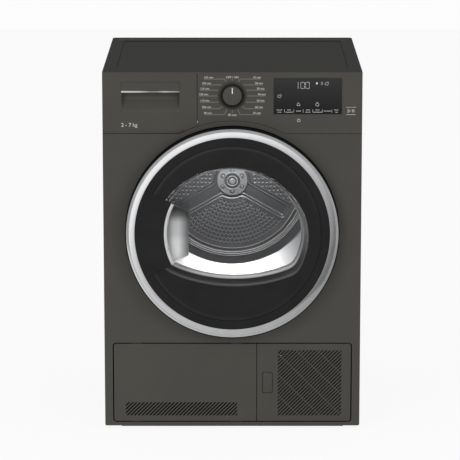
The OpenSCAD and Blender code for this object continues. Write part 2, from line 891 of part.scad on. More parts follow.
// Locking lever at one end of the condenser, lying across the duct's edge when locked
module lever(s) {
    d = s == 0 ? -1 : 1;
    color([0.75, 0.2, 0.12])
        at_front()
            xz(duct_y0 - 6, duct_y0 - 0.4)
                difference() {
                    union() {
                        disc(lever_x(s), lever_z, 8);
                        rect([lever_x(s) - (s == 0 ? 22 : 12), lever_z - 5],
                            [lever_x(s) + (s == 0 ? 12 : 22), lever_z + 5]);
                    }
                    disc(lever_x(s), lever_z, 3 + run);
                }
}

// Motor case with a through bore for the shaft
module motor() {
    color([0.5, 0.51, 0.53])
        at_front()
            difference() {
                union() {
                    rod(-motor_x, motor_z, motor_r, motor_y0 + 6, motor_y1 - 6);
                    rod(-motor_x, motor_z, motor_r - 8, motor_y0, motor_y1);
                }
                rod(-motor_x, motor_z, rotor_r + run, motor_y0 - 1, motor_y1 + 1);
                difference() {
                    rod(-motor_x, motor_z, motor_r - 12, motor_y0 + 12, motor_y1 - 12);
                    rod(-motor_x, motor_z, rotor_r + 14, motor_y0, motor_y1);
                }
            }
}

// Motor shaft with the belt pulley
module motor_pulley() {
    color([0.6, 0.6, 0.62])
        at_front()
            turned(-motor_x, motor_z)
                polygon([[0, scroll_y0 + 6], [rotor_r, scroll_y0 + 6], [rotor_r, belt_y - 8],
                    [pulley_r + 2, belt_y - 8], [pulley_r + 2, belt_y - 6],
                    [pulley_r, belt_y - 6], [pulley_r, belt_y + 6],
                    [pulley_r + 2, belt_y + 6], [pulley_r + 2, belt_y + 8], [0, belt_y + 8]]);
}

// Cooling fan wheel: back disc, hub and straight blades
module fan_wheel() {
    y0 = scroll_y0 + 8;
    y1 = scroll_y1 - 10;
    color([0.85, 0.85, 0.83])
        at_front()
            difference() {
                union() {
                    rod(-motor_x, motor_z, fan_r, y1 - 2, y1);
                    rod(-motor_x, motor_z, rotor_r + 6, y0, y1);
                    for (i = [0:23])
                        translate([-motor_x, 0, motor_z])
                            rotate([0, 15 * i, 0])
                                box([fan_r - 16, y0, -0.8], [fan_r - 1, y1, 0.8]);
                }
                rod(-motor_x, motor_z, rotor_r + 0.02, y0 - 1, y1 + 1);
            }
}

// Belt path: the outer tangents between the drum and the pulley
belt_d = sqrt(motor_x * motor_x + (drum_z - motor_z) * (drum_z - motor_z));
belt_a = atan2(drum_z - motor_z, motor_x);
belt_b = asin((drum_out - pulley_r) / belt_d);

belt_sink = 0.05;        // how far the straight runs sink into the curved ones

// Outline of the belt's path at a distance g outside the drum and the pulley
module belt_outline(g) {
    a1 = belt_a + belt_b + 90;
    a2 = belt_a - belt_b - 90;
    rd = drum_out + g - belt_sink;
    rp = pulley_r + g - belt_sink;
    disc(0, drum_z, drum_out + g);
    disc(-motor_x, motor_z, pulley_r + g);
    polygon([[rd * cos(a1), drum_z + rd * sin(a1)],
        [-motor_x + rp * cos(a1), motor_z + rp * sin(a1)],
        [-motor_x + rp * cos(a2), motor_z + rp * sin(a2)],
        [rd * cos(a2), drum_z + rd * sin(a2)]]);
}

module drum_belt() {
    color([0.08, 0.08, 0.08])
        at_front()
            xz(belt_y - 5, belt_y + 5)
                difference() {
                    belt_outline(0.3 + belt_t);
                    belt_outline(0.3);
                }
}

// Idler: its wheel rolls on the outside of the belt's slack run, 60 mm from the pulley
idler_n = belt_a + belt_b + 90;
idler_reach = pulley_r + belt_t + 0.6 + idler_r;
idler_x = -motor_x + idler_reach * cos(idler_n) + 60 * cos(belt_a + belt_b);
idler_z = motor_z + idler_reach * sin(idler_n) + 60 * sin(belt_a + belt_b);
idler_px = idler_x - 37;
idler_pz = idler_z - 39;
idler_len = sqrt(37 * 37 + 39 * 39);
module idler_arm() {
    color([0.55, 0.56, 0.58])
        at_front() {
            xz(belt_y + 6.2, belt_y + 9.6)
                translate([idler_px, idler_pz])
                    rotate(atan2(39, 37))
                        difference() {
                            union() {
                                circle(r = 8);
                                translate([idler_len, 0]) circle(r = 8);
                                translate([0, -6]) square([idler_len, 12]);
                            }
                            circle(r = 3 + run);
                        }
            rod(idler_x, idler_z, 3, belt_y - 6, belt_y + 6.3);
        }
}

module idler_wheel() {
    color([0.85, 0.85, 0.83])
        at_front()
            turned(idler_x, idler_z)
                polygon([[3 + run, belt_y - 5.5], [idler_r, belt_y - 5.5],
                    [idler_r, belt_y + 5.5], [3 + run, belt_y + 5.5]]);
}

// Support roller under the drum's front edge
module support_roller(s) {
    color([0.25, 0.25, 0.25])
        at_front()
            turned(s * roller_x, roller_z)
                polygon([[4 + run, drum_y0 + 2], [roller_r - 4, drum_y0 + 2],
                    [roller_r, drum_y0 + 4], [roller_r, drum_y0 + 18],
                    [roller_r - 4, drum_y0 + 20], [4 + run, drum_y0 + 20]]);
}

hose_r = 5;
hose_x = half_w - 36.5;
hose_y = rear_y - 18;
hose_z1 = body_h - 86;
pump_z1 = 62;
bend_r = 20;

// Condensate pump on the base, behind the bulkhead
module water_pump() {
    color([0.3, 0.31, 0.33])
        at_front() {
            box([-hose_x - 18, hose_y - 14, tray_z + tray_t], [-hose_x + 40, hose_y + 10, 40]);
            translate([-hose_x, hose_y, 39]) cylinder(r = 9, h = pump_z1 - 39);
            translate([-hose_x + 26, hose_y - 2, 39]) cylinder(r = 11, h = 26);
        }
}

// Condensate hose from the pump up to the tank's tray
module condensate_hose() {
    color([0.4, 0.4, 0.4])
        at_front() {
            translate([-hose_x, hose_y, pump_z1 + 0.1])
                cylinder(r = hose_r, h = hose_z1 - bend_r - pump_z1 - 0.1);
            translate([-hose_x, hose_y - bend_r, hose_z1 - bend_r])
                rotate([90, 0, 90])
                    rotate_extrude(angle = 90, $fn = 48)
                        translate([bend_r, 0]) circle(r = hose_r, $fn = 48);
            rod(-hose_x, hose_z1, hose_r, tank_y1 + 20.2, hose_y - bend_r);
        }
}

// Cable gland in the rear panel
module cable_gland() {
    color([0.08, 0.08, 0.08])
        at_front()
            turned(gland_x, gland_z)
                polygon([[5, rear_y - 8], [12, rear_y - 8], [12, rear_y], [16, rear_y],
                    [16, rear_y + 3], [10, rear_y + 9], [5, rear_y + 9]]);
}

screw_n = 5;             // screws on each side of the rear panel
screw_z0 = 80;           // height of the lowest screw
screw_pitch = (body_h - 126) / (screw_n - 1);

// Screw heads that hold the rear panel
module screws() {
    xs = wall_x - 9;
    color([0.7, 0.7, 0.7])
        at_front()
            for (s = [-1, 1])
                for (z = [for (i = [0:screw_n - 1]) screw_z0 + i * screw_pitch])
                    difference() {
                        rod(s * xs, z, 4.5, rear_y, rear_y + 2.2);
                        box([s * xs - 3, rear_y + 1.2, z - 0.5], [s * xs + 3, rear_y + 3, z + 0.5]);
                        box([s * xs - 0.5, rear_y + 1.2, z - 3], [s * xs + 0.5, rear_y + 3, z + 3]);
                    }
}

// ---------------------------------------------------------------- door

// Chrome ring with a bevelled outer edge
module door_ring() {
    f = -door_proud;
    color([0.8, 0.81, 0.82])
        at_front()
            turned(0, door_z)
                polygon([[ring_in, f + 6.5], [ring_in, f + 1.5], [ring_in + 2, f],
                    [door_r - 6, f], [door_r, f + 4], [door_r, f + 6.2], [door_r - 3, f + 6.2],
                    [door_r - 3, f + 5], [ring_in + 3, f + 3.5], [ring_in + 3, f + 6.5]]);
}

// Gloss black surround with the D-shaped window and a groove
groove_r = 207;
module door_surround() {
    f = surround_y;
    sk0 = plug_r - 1;
    color([0.15, 0.15, 0.15])
        at_front()
            difference() {
                union() {
                    xz(f, f + surround_t)
                        difference() {
                            disc(0, door_z, ring_in - fit);
                            window_outline(0);
                            grip_sector(grip_a, door_r);
                        }
                    xz(f + surround_t - eps, -6.3)
                        difference() {
                            disc(0, door_z, sk0 + 3);
                            disc(0, door_z, sk0);
                        }
                }
                turned(0, door_z)
                    polygon([[groove_r - 0.8, f - 1], [groove_r + 0.8, f - 1],
                        [groove_r + 0.8, f + 1.2], [groove_r - 0.8, f + 1.2]]);
            }
}

// Clear bowl: a flange behind the surround, drafted walls and a flat back
module door_glass() {
    y0 = surround_y + surround_t + 0.1;
    y1 = y0 + bowl_d;
    color([0.8, 0.85, 0.88, 0.35])
        at_front()
            difference() {
                union() {
                    window_body(y0, y0 + 3, 6, 6);
                    window_body(y0, y1, bowl_t - 0.5, bowl_t - bowl_draft);
                }
                window_body(y0 - 1, y1 - bowl_t, 0, -bowl_draft);
                // room for the grip pocket
                xz(y0 - 1, pocket_y1 + 0.3) grip_sector(grip_a + 0.9, grip_pocket_r + 0.6);
            }
}

strip_w = 7.5;           // width of the bright strip
grip_pocket_r = 186;     // outer radius of the finger pocket
grip_x = 101;            // right edge of the finger pocket
pocket_y1 = -6.6;        // back of the finger pocket

// Grip plate: black sector between the chrome ring and the strip
module door_grip_plate() {
    color([0.13, 0.13, 0.13])
        at_front()
            xz(surround_y, surround_y + surround_t)
                difference() {
                    grip_sector(grip_a - 0.12, ring_in - fit);
                    disc(0, door_z, grip_r + 0.2);
                }
}

// Bright strip along the inner edge of the grip plate
module door_grip_strip() {
    color([0.9, 0.9, 0.9])
        at_front()
            xz(surround_y - 0.3, surround_y + surround_t)
                difference() {
                    intersection() {
                        grip_sector(grip_a - 0.12, ring_in);
                        disc(0, door_z, grip_r);
                    }
                    disc(0, door_z, grip_r - strip_w);
                }
}

// Smoky finger pocket behind the grip plate and beside the strip
module pocket_outline(g) {
    intersection() {
        grip_sector(grip_a - 0.3, grip_pocket_r);
        difference() {
            disc(0, door_z, grip_pocket_r + g);
            rect([-grip_x - g, 0], [door_r, body_h]);
        }
    }
}
module door_grip_pocket() {
    y0 = surround_y + surround_t + 0.1;
    color([0.6, 0.62, 0.64, 0.6])
        at_front()
            difference() {
                xz(y0, pocket_y1) pocket_outline(0);
                xz(y0 - 1, pocket_y1 - 2)
                    intersection() {
                        translate([-2.4 / tan(grip_a), 0])
                            grip_sector(grip_a - 0.3, grip_pocket_r);
                        difference() {
                            disc(0, door_z, grip_pocket_r - 2);
                            rect([-grip_x - 2, 0], [door_r, body_h]);
                        }
                    }
            }
}

rim_step = 1.5;          // the black rim stands out past the chrome ring
collar_y1 = 28;          // back of the collar round the bowl
collar_t = 2.4;          // its wall
collar_g = 0.3;          // its growth past the window's outline where the plate begins
collar_draft = bowl_draft * (collar_y1 + 6) / bowl_d;

// Rear shell of the door: rim wall, back plate, the plug that enters the mouth and a
// collar round the bowl
module door_liner() {
    f = -door_proud;
    color([0.17, 0.17, 0.17])
        at_front()
            difference() {
                union() {
                    turned(0, door_z)
                        polygon([[door_r - 3, f + 6.3], [door_r + rim_step, f + 6.3],
                            [door_r + rim_step, -8], [door_r - 2, -3],
                            [opening_r - 24, -3], [opening_r - 24, -6], [door_r - 5, -6]]);
                    turned(0, door_z)
                        polygon([[plug_r - 3, -6], [plug_r, -6], [plug_r, 14], [plug_r - 3, 14]]);
                    xz(-6, -3) disc(0, door_z, plug_r);
                    window_body(-6, collar_y1, collar_g + collar_t,
                        collar_g + collar_t - collar_draft);
                }
                window_body(-7, collar_y1 + 1, collar_g + collar_draft / 34,
                    collar_g - 35 * collar_draft / 34);
                // room for the hinge
                box([plug_r + 26, -door_proud, door_z - 24], [door_r + 2, 0, door_z + 24]);
            }
}

// Rubber ring on the back of the liner
module door_seal() {
    color([0.06, 0.06, 0.06])
        at_front()
            turned(0, door_z)
                polygon([[opening_r - 11, -3], [opening_r - 4, -3], [opening_r - 5, 1],
                    [opening_r - 10, 1]]);
}

hinge_h = 18;            // half height of the hinge's fixed arms
leaf_h = 10;             // half height of the door's knuckle

// Fixed half of the hinge: base plate, two curved arms and the pin
module door_hinge_bracket() {
    px = hinge_x;
    py = -hinge_out;
    color([0.55, 0.56, 0.58])
        at_front() {
            box([opening_r + 2, -1.6, door_z - 38], [hinge_x - 4, -0.05, door_z + 38]);
            for (z = [door_z - hinge_h, door_z + leaf_h + 0.4])
                translate([0, 0, z])
                    linear_extrude(height = hinge_h - leaf_h - 0.4)
                        union() {
                            translate([px, py]) circle(r = 4);
                            polygon([[px + 1, py + 3.8], [px - 4, py - 0.5],
                                [px - 15.2, py + 7.6], [px - 15.2, -1],
                                [px - 11, -1], [px - 11, py + 10.2]]);
                        }
            translate([px, py, door_z - hinge_h]) cylinder(r = hinge_pin_r, h = 2 * hinge_h);
        }
}

// Door's half of the hinge: knuckle, arm and plate on the liner
module door_hinge_leaf() {
    px = hinge_x;
    py = -hinge_out;
    color([0.6, 0.61, 0.63])
        at_front()
            difference() {
                union() {
                    translate([px, py, door_z - leaf_h])
                        linear_extrude(height = 2 * leaf_h) {
                            circle(r = 4.5);
                            polygon([[0, 2], [0, -2], [-22, -2 + 4], [-26, hinge_out - 8.4],
                                [-26, hinge_out - 6.2], [-22, hinge_out - 6.2]]);
                        }
                    box([plug_r + 5, -8.4, door_z - 30], [px - 21, -6.1, door_z + 30]);
                }
                translate([px, py, door_z - leaf_h - 1])
                    cylinder(r = hinge_pin_r + run, h = 2 * leaf_h + 2);
            }
}

// Latch hook on the back of the door
module door_latch_hook() {
    color([0.7, 0.7, 0.72])
        at_front()
            yz(keeper_x - 3, keeper_x + 3)
                polygon([[-3, door_z - 9], [12, door_z - 9], [14, door_z - 6], [14, door_z + 4],
                    [10, door_z + 4], [10, door_z - 1], [-3, door_z - 1]]);
}

// Keeper box with the door switch, behind the front panel
module door_keeper() {
    y0 = sheet_t + 0.05;
    color([0.2, 0.2, 0.2])
        at_front()
            difference() {
                box([keeper_x - 10.5, y0, door_z - 22], [keeper_x + 10, 26, door_z + 22]);
                box([keeper_x - 7.5, y0 - 1, door_z - 16], [keeper_x + 7.5, 22, door_z + 16]);
            }
}

// ---------------------------------------------------------------- kick area

// Parallel slanting slots over the rectangle from a to b, broken by thin crossing ribs
module slots(a, b, pitch, width, rib_pitch) {
    h = b[1] - a[1];
    n = ceil((b[0] - a[0] + h) / pitch);
    sw = width * sqrt(2);
    difference() {
        intersection() {
            rect(a, b);
            for (i = [0:n])
                translate([a[0] - h + i * pitch, a[1]])
                    polygon([[-sw / 2, 0], [sw / 2, 0], [h + sw / 2, h], [h - sw / 2, h]]);
        }
        if (rib_pitch > 0)
            for (i = [0:ceil((b[0] - a[0] + h) / rib_pitch)])
                translate([a[0] + i * rib_pitch, a[1]])
                    polygon([[-1.2, 0], [1.2, 0], [1.2 - h, h], [-1.2 - h, h]]);
    }
}

panel_in = 10;           // depth of the kick panel's and the flap's returned rim

// Outline of the kick panel or the flap between x0 and x1
module kick_outline(x0, x1, left_r, right_r) {
    z0 = kick_z0 + kick_gap;
    z1 = kick_z1 - kick_gap;
    m = (x0 + x1) / 2;
    rrect([x0, z0], [m + 10, z1], left_r);
    rrect([m - 10, z0], [x1, z1], right_r);
}

tab_w = 24;              // width of the tabs that seat the kick panel in its opening

// Kick panel with its slotted strip and four seating tabs
module kick_panel() {
    x0 = -kick_half_w + kick_gap;
    x1 = kick_split - seam_a - 0.3;
    color([0.29, 0.285, 0.265])
        at_front() {
            for (x = [x0 + 40, x1 - 60])
                for (z = [kick_z0, kick_z1 - kick_gap - eps])
                    box([x, 4, z], [x + tab_w, panel_in - 1.2, z + kick_gap + eps]);
            difference() {
                xz(0, panel_in) kick_outline(x0, x1, kick_r - kick_gap, 1);
                xz(mould_t, panel_in + 1)
                    rect([x0 + 3, kick_z0 + kick_gap + 3], [x1 - 2, kick_z1 - kick_gap - 3]);
                xz(-1, mould_t + 1)
                    slots([x0 + 26.8, kick_z0 + 15.6], [x1 - 45, kick_z0 + 47.8],
                        slot_pitch, slot_w, 0);
            }
        }
}

latch_x0 = kick_split + 13;
latch_x1 = kick_split + 37;
latch_z0 = 87;
latch_z1 = 137;
grille_x0 = kick_split + 49.2;
grille_x1 = kick_half_w - 24.5;
screen_y = 6.5;          // front face of the screen behind the grille
latch_gap = 0.7;         // gap round the push latch

// Service flap with its slotted grille, hinge pins and the hole for the push latch
module service_flap() {
    x0 = kick_split + seam_a + 0.3;
    x1 = kick_half_w - kick_gap;
    z0 = kick_z0 + kick_gap;
    z1 = kick_z1 - kick_gap;
    color([0.3, 0.295, 0.27])
        at_front() {
            difference() {
                xz(0, panel_in) kick_outline(x0, x1, 1, kick_r - kick_gap);
                xz(mould_t, panel_in + 1) rect([x0 + 2, z0 + 3], [x1 - 9, z1 - 3]);
                xz(-1, mould_t + 1)
                    slots([grille_x0, kick_z0 + 15.6], [grille_x1, kick_z1 - 18.1],
                        slot_pitch, slot_w, 50);
                xz(-1, mould_t + 1)
                    rrect([latch_x0 - latch_gap, latch_z0 - latch_gap],
                            [latch_x1 + latch_gap, latch_z1 + latch_gap], 4 + latch_gap);
            }
            // screen behind the grille, held by the rim
            box([grille_x0 - 3, screen_y, z0 + 3 - eps], [grille_x1 + 3, screen_y + 1.5, z1 - 3 + eps]);
            translate([flap_axis_x, flap_axis_y, kick_z0 - sheet_t])
                cylinder(r = flap_pin_r, h = kick_gap + sheet_t + 1);
            translate([flap_axis_x, flap_axis_y, z1 - 1])
                cylinder(r = flap_pin_r, h = kick_gap + sheet_t + 1);
        }
}

// Push latch: rounded button with a wider back that keeps it in the flap
module flap_latch_button() {
    color([0.29, 0.285, 0.265])
        at_front() {
            xz(0, mould_t + 0.4) rrect([latch_x0, latch_z0], [latch_x1, latch_z1], 4);
            xz(mould_t + 0.3, mould_t + 2.3)
                rrect([latch_x0 - 3, latch_z0 - 3], [latch_x1 + 3, latch_z1 + 3], 4);
        }
}

// ---------------------------------------------------------------- drum

// Drum: front flange, cylinder and the polished flare at the back
module drum_shell() {
    t = drum_t;
    yc = drum_y1 + 1 - flare_d;
    y1 = drum_y1 + 1;
    color([0.75, 0.76, 0.77])
        at_front()
            turned(0, drum_z)
                polygon([[drum_lip_r, drum_y0], [drum_out - 6, drum_y0], [drum_out, drum_y0 + 6],
                    [drum_out, yc + t], [flare_r + t, y1 + t], [flare_r - 4, y1 + t],
                    [flare_r - 4, y1], [flare_r, y1], [drum_r, yc], [drum_r, drum_y0 + 6.5],
                    [drum_r - 5.5, drum_y0 + t], [drum_lip_r, drum_y0 + t]]);
}

ARM_A = [90, 210, 330];
RIDGES = [172.5, 182.6, 187.4, 192.4];
ridge_w = 1.6;           // half width of a ridge
hub_r = 38;
field_r = 163;           // radius of the raised, dimpled field
field_h = 3;             // its height above the arms
arm_w = 40.8;            // width of a recessed arm
arm_end = 161;           // reach of an arm from the drum's axis
arm_soft = 12;           // corner radius of an arm's end
seat_r = 44.5;           // seat round the hub
floor_y = drum_y1 - 1;   // front face of the plate in the arms

// One recessed arm of the back plate, pointing along +X
module arm_outline() {
    rect([0, -arm_w / 2], [arm_end - arm_soft, arm_w / 2]);
    hull()
        for (z = [-1, 1])
            disc(arm_end - arm_soft, z * (arm_w / 2 - arm_soft), arm_soft);
}

// Back plate with a raised field, three recessed arms and four ridges
module drum_back_plate() {
    y1 = drum_y1 + 1;
    color([0.28, 0.285, 0.29])
        at_front()
            difference() {
                union() {
                    xz(floor_y, y1) disc(0, drum_z, flare_r - 0.3);
                    xz(floor_y - field_h, floor_y + eps)
                        translate([0, drum_z])
                            difference() {
                                disc(0, 0, field_r);
                                disc(0, 0, seat_r);
                                for (a = ARM_A) rotate(a) arm_outline();
                            }
                    for (r = RIDGES)
                        turned(0, drum_z)
                            polygon([[r - ridge_w, floor_y + eps], [r, floor_y - field_h],
                                [r + ridge_w, floor_y + eps]]);
                }
                rod(0, drum_z, shaft_r + 0.1, drum_y1 - 10, y1 + 1);
            }
}

// Hub: disc with a boss, six rivets and the shaft
module drum_hub() {
    y0 = drum_y1 - 3.05;
    color([0.6, 0.61, 0.62])
        at_front() {
            turned(0, drum_z)
                polygon([[0, y0 - 6], [6.5, y0 - 6], [8, y0 - 4.5], [12, y0 - 5], [14, y0 - 7],
                    [17, y0 - 7], [20, y0 - 3], [hub_r - 1, y0 - 3], [hub_r, y0 - 2],
                    [hub_r, floor_y - 0.05], [shaft_r, floor_y - 0.05], [shaft_r, bulk_y + 25],
                    [0, bulk_y + 25]]);
            for (i = [0:5])
                rod(27 * cos(30 + 60 * i), drum_z + 27 * sin(30 + 60 * i), 3.6, y0 - 5, y0 - 2);
        }
}

lifter_t = 3;            // wall of a lifter

// Cross-section of a lifter that points along +X, g inside its face
module lifter_outline(g) {
    r = drum_r - lifter_h + g;
    polygon([[drum_r + 2, -34 + g], [r + 6, -13 + g], [r, -7 + g], [r, 7 - g],
        [r + 6, 13 - g], [drum_r + 2, 34 - g]]);
}

// Three hollow lifters on the drum's wall
module drum_lifters() {
    y0 = drum_y0 + 40;
    y1 = drum_y1 - flare_d - 30;
    color([0.35, 0.36, 0.37])
        at_front()
            for (i = [0:2])
                translate([0, 0, drum_z])
                    rotate([0, 30 + 120 * i, 0])
                        difference() {
                            intersection() {
                                xz(y0, y1) lifter_outline(0);
                                rod(0, 0, drum_r - 0.1, y0 - 1, y1 + 1);
                            }
                            xz(y0 + lifter_t, y1 - lifter_t) lifter_outline(lifter_t);
                        }
}

module support_roller_left() { support_roller(-1); }
module support_roller_right() { support_roller(1); }
module lever_left() { lever(0); }
module lever_right() { lever(1); }
module foot_front_left() { foot(0); }
module foot_front_right() { foot(1); }
module foot_rear_left() { foot(2); }
module foot_rear_right() { foot(3); }

base_tray();
left_side_panel();
right_side_panel();
rear_panel();
rear_bulkhead();
heater_duct();
heater_element();
rear_bearing();
worktop();
front_panel();
front_bulkhead();
front_felt_seal();
control_fascia();
display_window();
control_board();
kick_panel();
condenser();
motor();
water_pump();
condensate_hose();
tank_guide();
door_hinge_bracket();
door_keeper();
cable_gland();
screws();
door_ring();
door_surround();
door_glass();
door_grip_plate();
door_grip_strip();
door_grip_pocket();
door_liner();
door_seal();
door_hinge_leaf();
door_latch_hook();
tank_front();
tank_handle_strip();
tank_container();
knob_cap();
knob_pointer();
drum_shell();
drum_back_plate();
drum_hub();
drum_lifters();
drum_belt();
motor_pulley();
fan_wheel();
idler_arm();
idler_wheel();
support_roller_left();
support_roller_right();
service_flap();
flap_latch_button();
lever_left();
lever_right();
foot_front_left();
foot_front_right();
foot_rear_left();
foot_rear_right();
lint_filter();
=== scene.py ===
import json
import math

import bmesh
import bpy
import numpy as np
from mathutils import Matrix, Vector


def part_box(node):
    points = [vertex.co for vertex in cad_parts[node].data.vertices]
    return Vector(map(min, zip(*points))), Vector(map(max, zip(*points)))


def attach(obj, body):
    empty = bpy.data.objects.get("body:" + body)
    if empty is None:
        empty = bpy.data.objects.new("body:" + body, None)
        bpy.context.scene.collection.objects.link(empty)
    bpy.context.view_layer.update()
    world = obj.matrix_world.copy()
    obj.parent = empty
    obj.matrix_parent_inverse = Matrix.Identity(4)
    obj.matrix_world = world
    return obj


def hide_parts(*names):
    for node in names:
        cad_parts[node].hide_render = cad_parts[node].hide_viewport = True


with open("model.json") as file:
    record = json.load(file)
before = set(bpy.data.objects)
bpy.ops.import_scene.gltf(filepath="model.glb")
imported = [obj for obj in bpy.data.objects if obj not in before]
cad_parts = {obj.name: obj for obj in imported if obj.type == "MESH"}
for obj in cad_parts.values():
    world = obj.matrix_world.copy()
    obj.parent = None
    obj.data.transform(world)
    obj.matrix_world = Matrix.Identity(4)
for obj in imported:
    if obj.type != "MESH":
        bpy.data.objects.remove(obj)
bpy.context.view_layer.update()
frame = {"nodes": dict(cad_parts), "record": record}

# Clothes dryer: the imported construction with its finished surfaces. Shapes are written in
# millimetres, with y measured from the front plane of the cabinet and z from the floor.

MM = 0.001
FULL_TURN = 2 * math.pi


def size(node):
    """Lowest and highest corner of a construction node, in millimetres from the front plane."""
    low, high = (np.array(corner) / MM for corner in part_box(node))
    low[1] -= FRONT_MM
    high[1] -= FRONT_MM
    return low, high


FRONT_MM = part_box("front_panel")[0].y / MM
RING_LOW, RING_HIGH = size("door_ring")
DOOR_Z = (RING_LOW[2] + RING_HIGH[2]) / 2
DOOR_R = (RING_HIGH[0] - RING_LOW[0]) / 2
DRUM_LOW, DRUM_HIGH = size("drum_shell")
DRUM_Z = (DRUM_LOW[2] + DRUM_HIGH[2]) / 2
KNOB_LOW, KNOB_HIGH = size("knob_cap")
KNOB_Z = (KNOB_LOW[2] + KNOB_HIGH[2]) / 2
FLAP_LOW, FLAP_HIGH = size("service_flap")
TOP_HIGH = size("worktop")[1]

# Door
RING_W = 20.3                    # width of the chrome ring, with its joint to the surround
GAP_R0, GAP_R1 = 243, 248.2      # painted shadow: a black strip on the panel for the shadow gap where the ring comes down
FACE_Y = RING_LOW[1] + 2.5       # front face of the gloss surround
FACE_T = 4
GRIP_ANGLE = 27.3                # half angle of the grip sector
GRIP_R = 158                     # outer edge of the bright strip
STRIP_W = 7.5
POCKET_X = 101                   # right edge of the finger pocket, left of the middle
POCKET_R = 185.5                 # its outer edge
POCKET_BACK = size("door_grip_pocket")[1][1]
GLASS_Y0 = FACE_Y + FACE_T + 0.1
GLASS_Y1 = size("door_glass")[1][1]
GLASS_T = 4
GLASS_DRAFT = 13                 # how far the bowl's wall leans in over its depth
WINDOW_DISCS = [(-4, -34.5, 190.5), (6, 246.5, 371), (0, 0, 178)]      # (x, z, radius)

# Drum
ARM_ANGLES = (90, 210, 330)
ARM_HALF = 20.4                  # half width of a pressed arm at its outer step
ARM_END = 161                    # reach of an arm from the drum's axis
ARM_CORNER = 12                  # radius of its corners
ARM_STEP = 6.9                   # distance between an arm's two steps
SEAT_R = 44.5                    # outer step round the hub
HUB_R = 38
RIVET_RING_R = 27.4
PLATE_Y = size("drum_hub")[0][1] + 9.1      # floor of the arms
PLATE_R = 214
FIELD = 3.0                      # the dimpled field stands this far in front of the arms
PIT_PITCH = 9.85
PIT_R = 156                      # radius of the outermost ring of dimples
PIT_RINGS, PIT_COUNT = 12, 96    # rings, and dimples in the outermost one
MOUTH_R = 240                    # front edge of the drum
FLARE = 71                       # depth of the flare that meets the back plate
# Corrugated edge of the field: (radius, height in front of the arms' floor), and its crests
EDGE = [(0, 3.0), (162, 3.0), (172.5, 4.6), (174.5, 3.8), (177.5, 1.6), (180.2, 1.4),
        (182.6, 4.4), (184.6, 2.2), (187.4, 4.2), (189.6, 2.0), (192.4, 3.2), (194.4, 0.8),
        (PLATE_R, 0.6)]
EDGE_CRESTS = [(172.7, 4.5), (182.8, 4.3), (187.6, 4.1), (192.4, 3.2)]

# Front of the cabinet
SEAM_R = 260.5                   # seam of the tank's front, an arc about the door's axis
SCOOP_X, SCOOP_HALF = -187.7, 66.9          # grip recess of the tank
SCOOP_X0, SCOOP_X1 = SCOOP_X - SCOOP_HALF, SCOOP_X + SCOOP_HALF
SCOOP_Z0, SCOOP_DEPTH = 755.3, 14
STRIP_Z0, STRIP_Z1 = 797.5, 803.5           # bright strip over the recess
PLATE_TOP = 822.5                # upper hairline of the bare plate
TANK_GRID_Z = 740                # above this height the front's columns have common levels
INK = 0.05                       # thickness of printing, in front of and behind its surface


# ---------------------------------------------------------------- mesh building

def unit(vectors):
    """Each row divided by its length."""
    length = np.linalg.norm(vectors, axis=-1, keepdims=True)
    return vectors / np.maximum(length, 1e-9)


def rounded(corners, closed=True, steps=4):
    """Outline whose corners (a, b, radius) are arcs: an arc of radius r that touches both sides
    starts r / tan(half the corner's angle) away from the corner."""
    places = np.array([c[:2] for c in corners], float)
    out = []
    for i, (_, _, radius) in enumerate(corners):
        place = places[i]
        if radius == 0 or (not closed and i in (0, len(corners) - 1)):
            out.append(place[None])
            continue
        back = unit(places[i - 1] - place)
        ahead = unit(places[(i + 1) % len(corners)] - place)
        half = math.acos(np.clip(back @ ahead, -1, 1)) / 2
        centre = place + unit(back + ahead) * radius / math.sin(half)
        start, end = (place + d * radius / math.tan(half) - centre for d in (back, ahead))
        a0, a1 = math.atan2(start[1], start[0]), math.atan2(end[1], end[0])
        turn = (a1 - a0 + math.pi) % FULL_TURN - math.pi
        angle = a0 + turn * np.linspace(0, 1, steps + 1)
        out.append(centre + radius * np.stack([np.cos(angle), np.sin(angle)], -1))
    return np.concatenate(out)


def block(x0, z0, x1, z1, radius=0):
    """Counter-clockwise X-Z rectangle with rounded corners."""
    return rounded([(x0, z0, radius), (x1, z0, radius), (x1, z1, radius), (x0, z1, radius)])


def arc(x, z, radius, start, end, steps):
    """Points (x + r cos t, z + r sin t) for t from start to end, in degrees."""
    t = np.radians(np.linspace(start, end, steps))
    return np.stack([x + radius * np.cos(t), z + radius * np.sin(t)], -1)


def band(inner, outer, front, back):
    """Section of a flat ring, as (radius, y) points."""
    return np.array([(inner, back), (inner, front), (outer, front), (outer, back)])


def grid(points, loop_u=False, loop_v=False, cap_u=False, cap_v=False):
    """Faces over points[u, v]: each joins four neighbours, and a cap closes an end."""
    n, m = points.shape[:2]
    index = np.arange(n * m).reshape(n, m)
    rows = np.concatenate([index, index[:1]]) if loop_u else index
    rows = np.concatenate([rows, rows[:, :1]], axis=1) if loop_v else rows
    quads = np.stack([rows[:-1, :-1], rows[1:, :-1], rows[1:, 1:], rows[:-1, 1:]], -1)
    faces = quads.reshape(-1, 4).tolist()
    if cap_u:
        faces += [index[0][::-1].tolist(), index[-1].tolist()]
    if cap_v:
        faces += [index[:, 0].tolist(), index[:, -1][::-1].tolist()]
    return points.reshape(-1, 3), faces


def lathe(profile, x, z, steps=160, solid=False):
    """Surface of revolution about a line along Y: (x + r cos t, y, z + r sin t). The profile is
    a loop, or for a solid it starts and ends on the axis."""
    t = np.linspace(0, FULL_TURN, steps, endpoint=False)[:, None]
    r, y = profile[:, 0], profile[:, 1]
    points = np.stack([x + r * np.cos(t), y + 0 * t, z + r * np.sin(t)], -1)
    return grid(points, loop_u=True, loop_v=not solid)


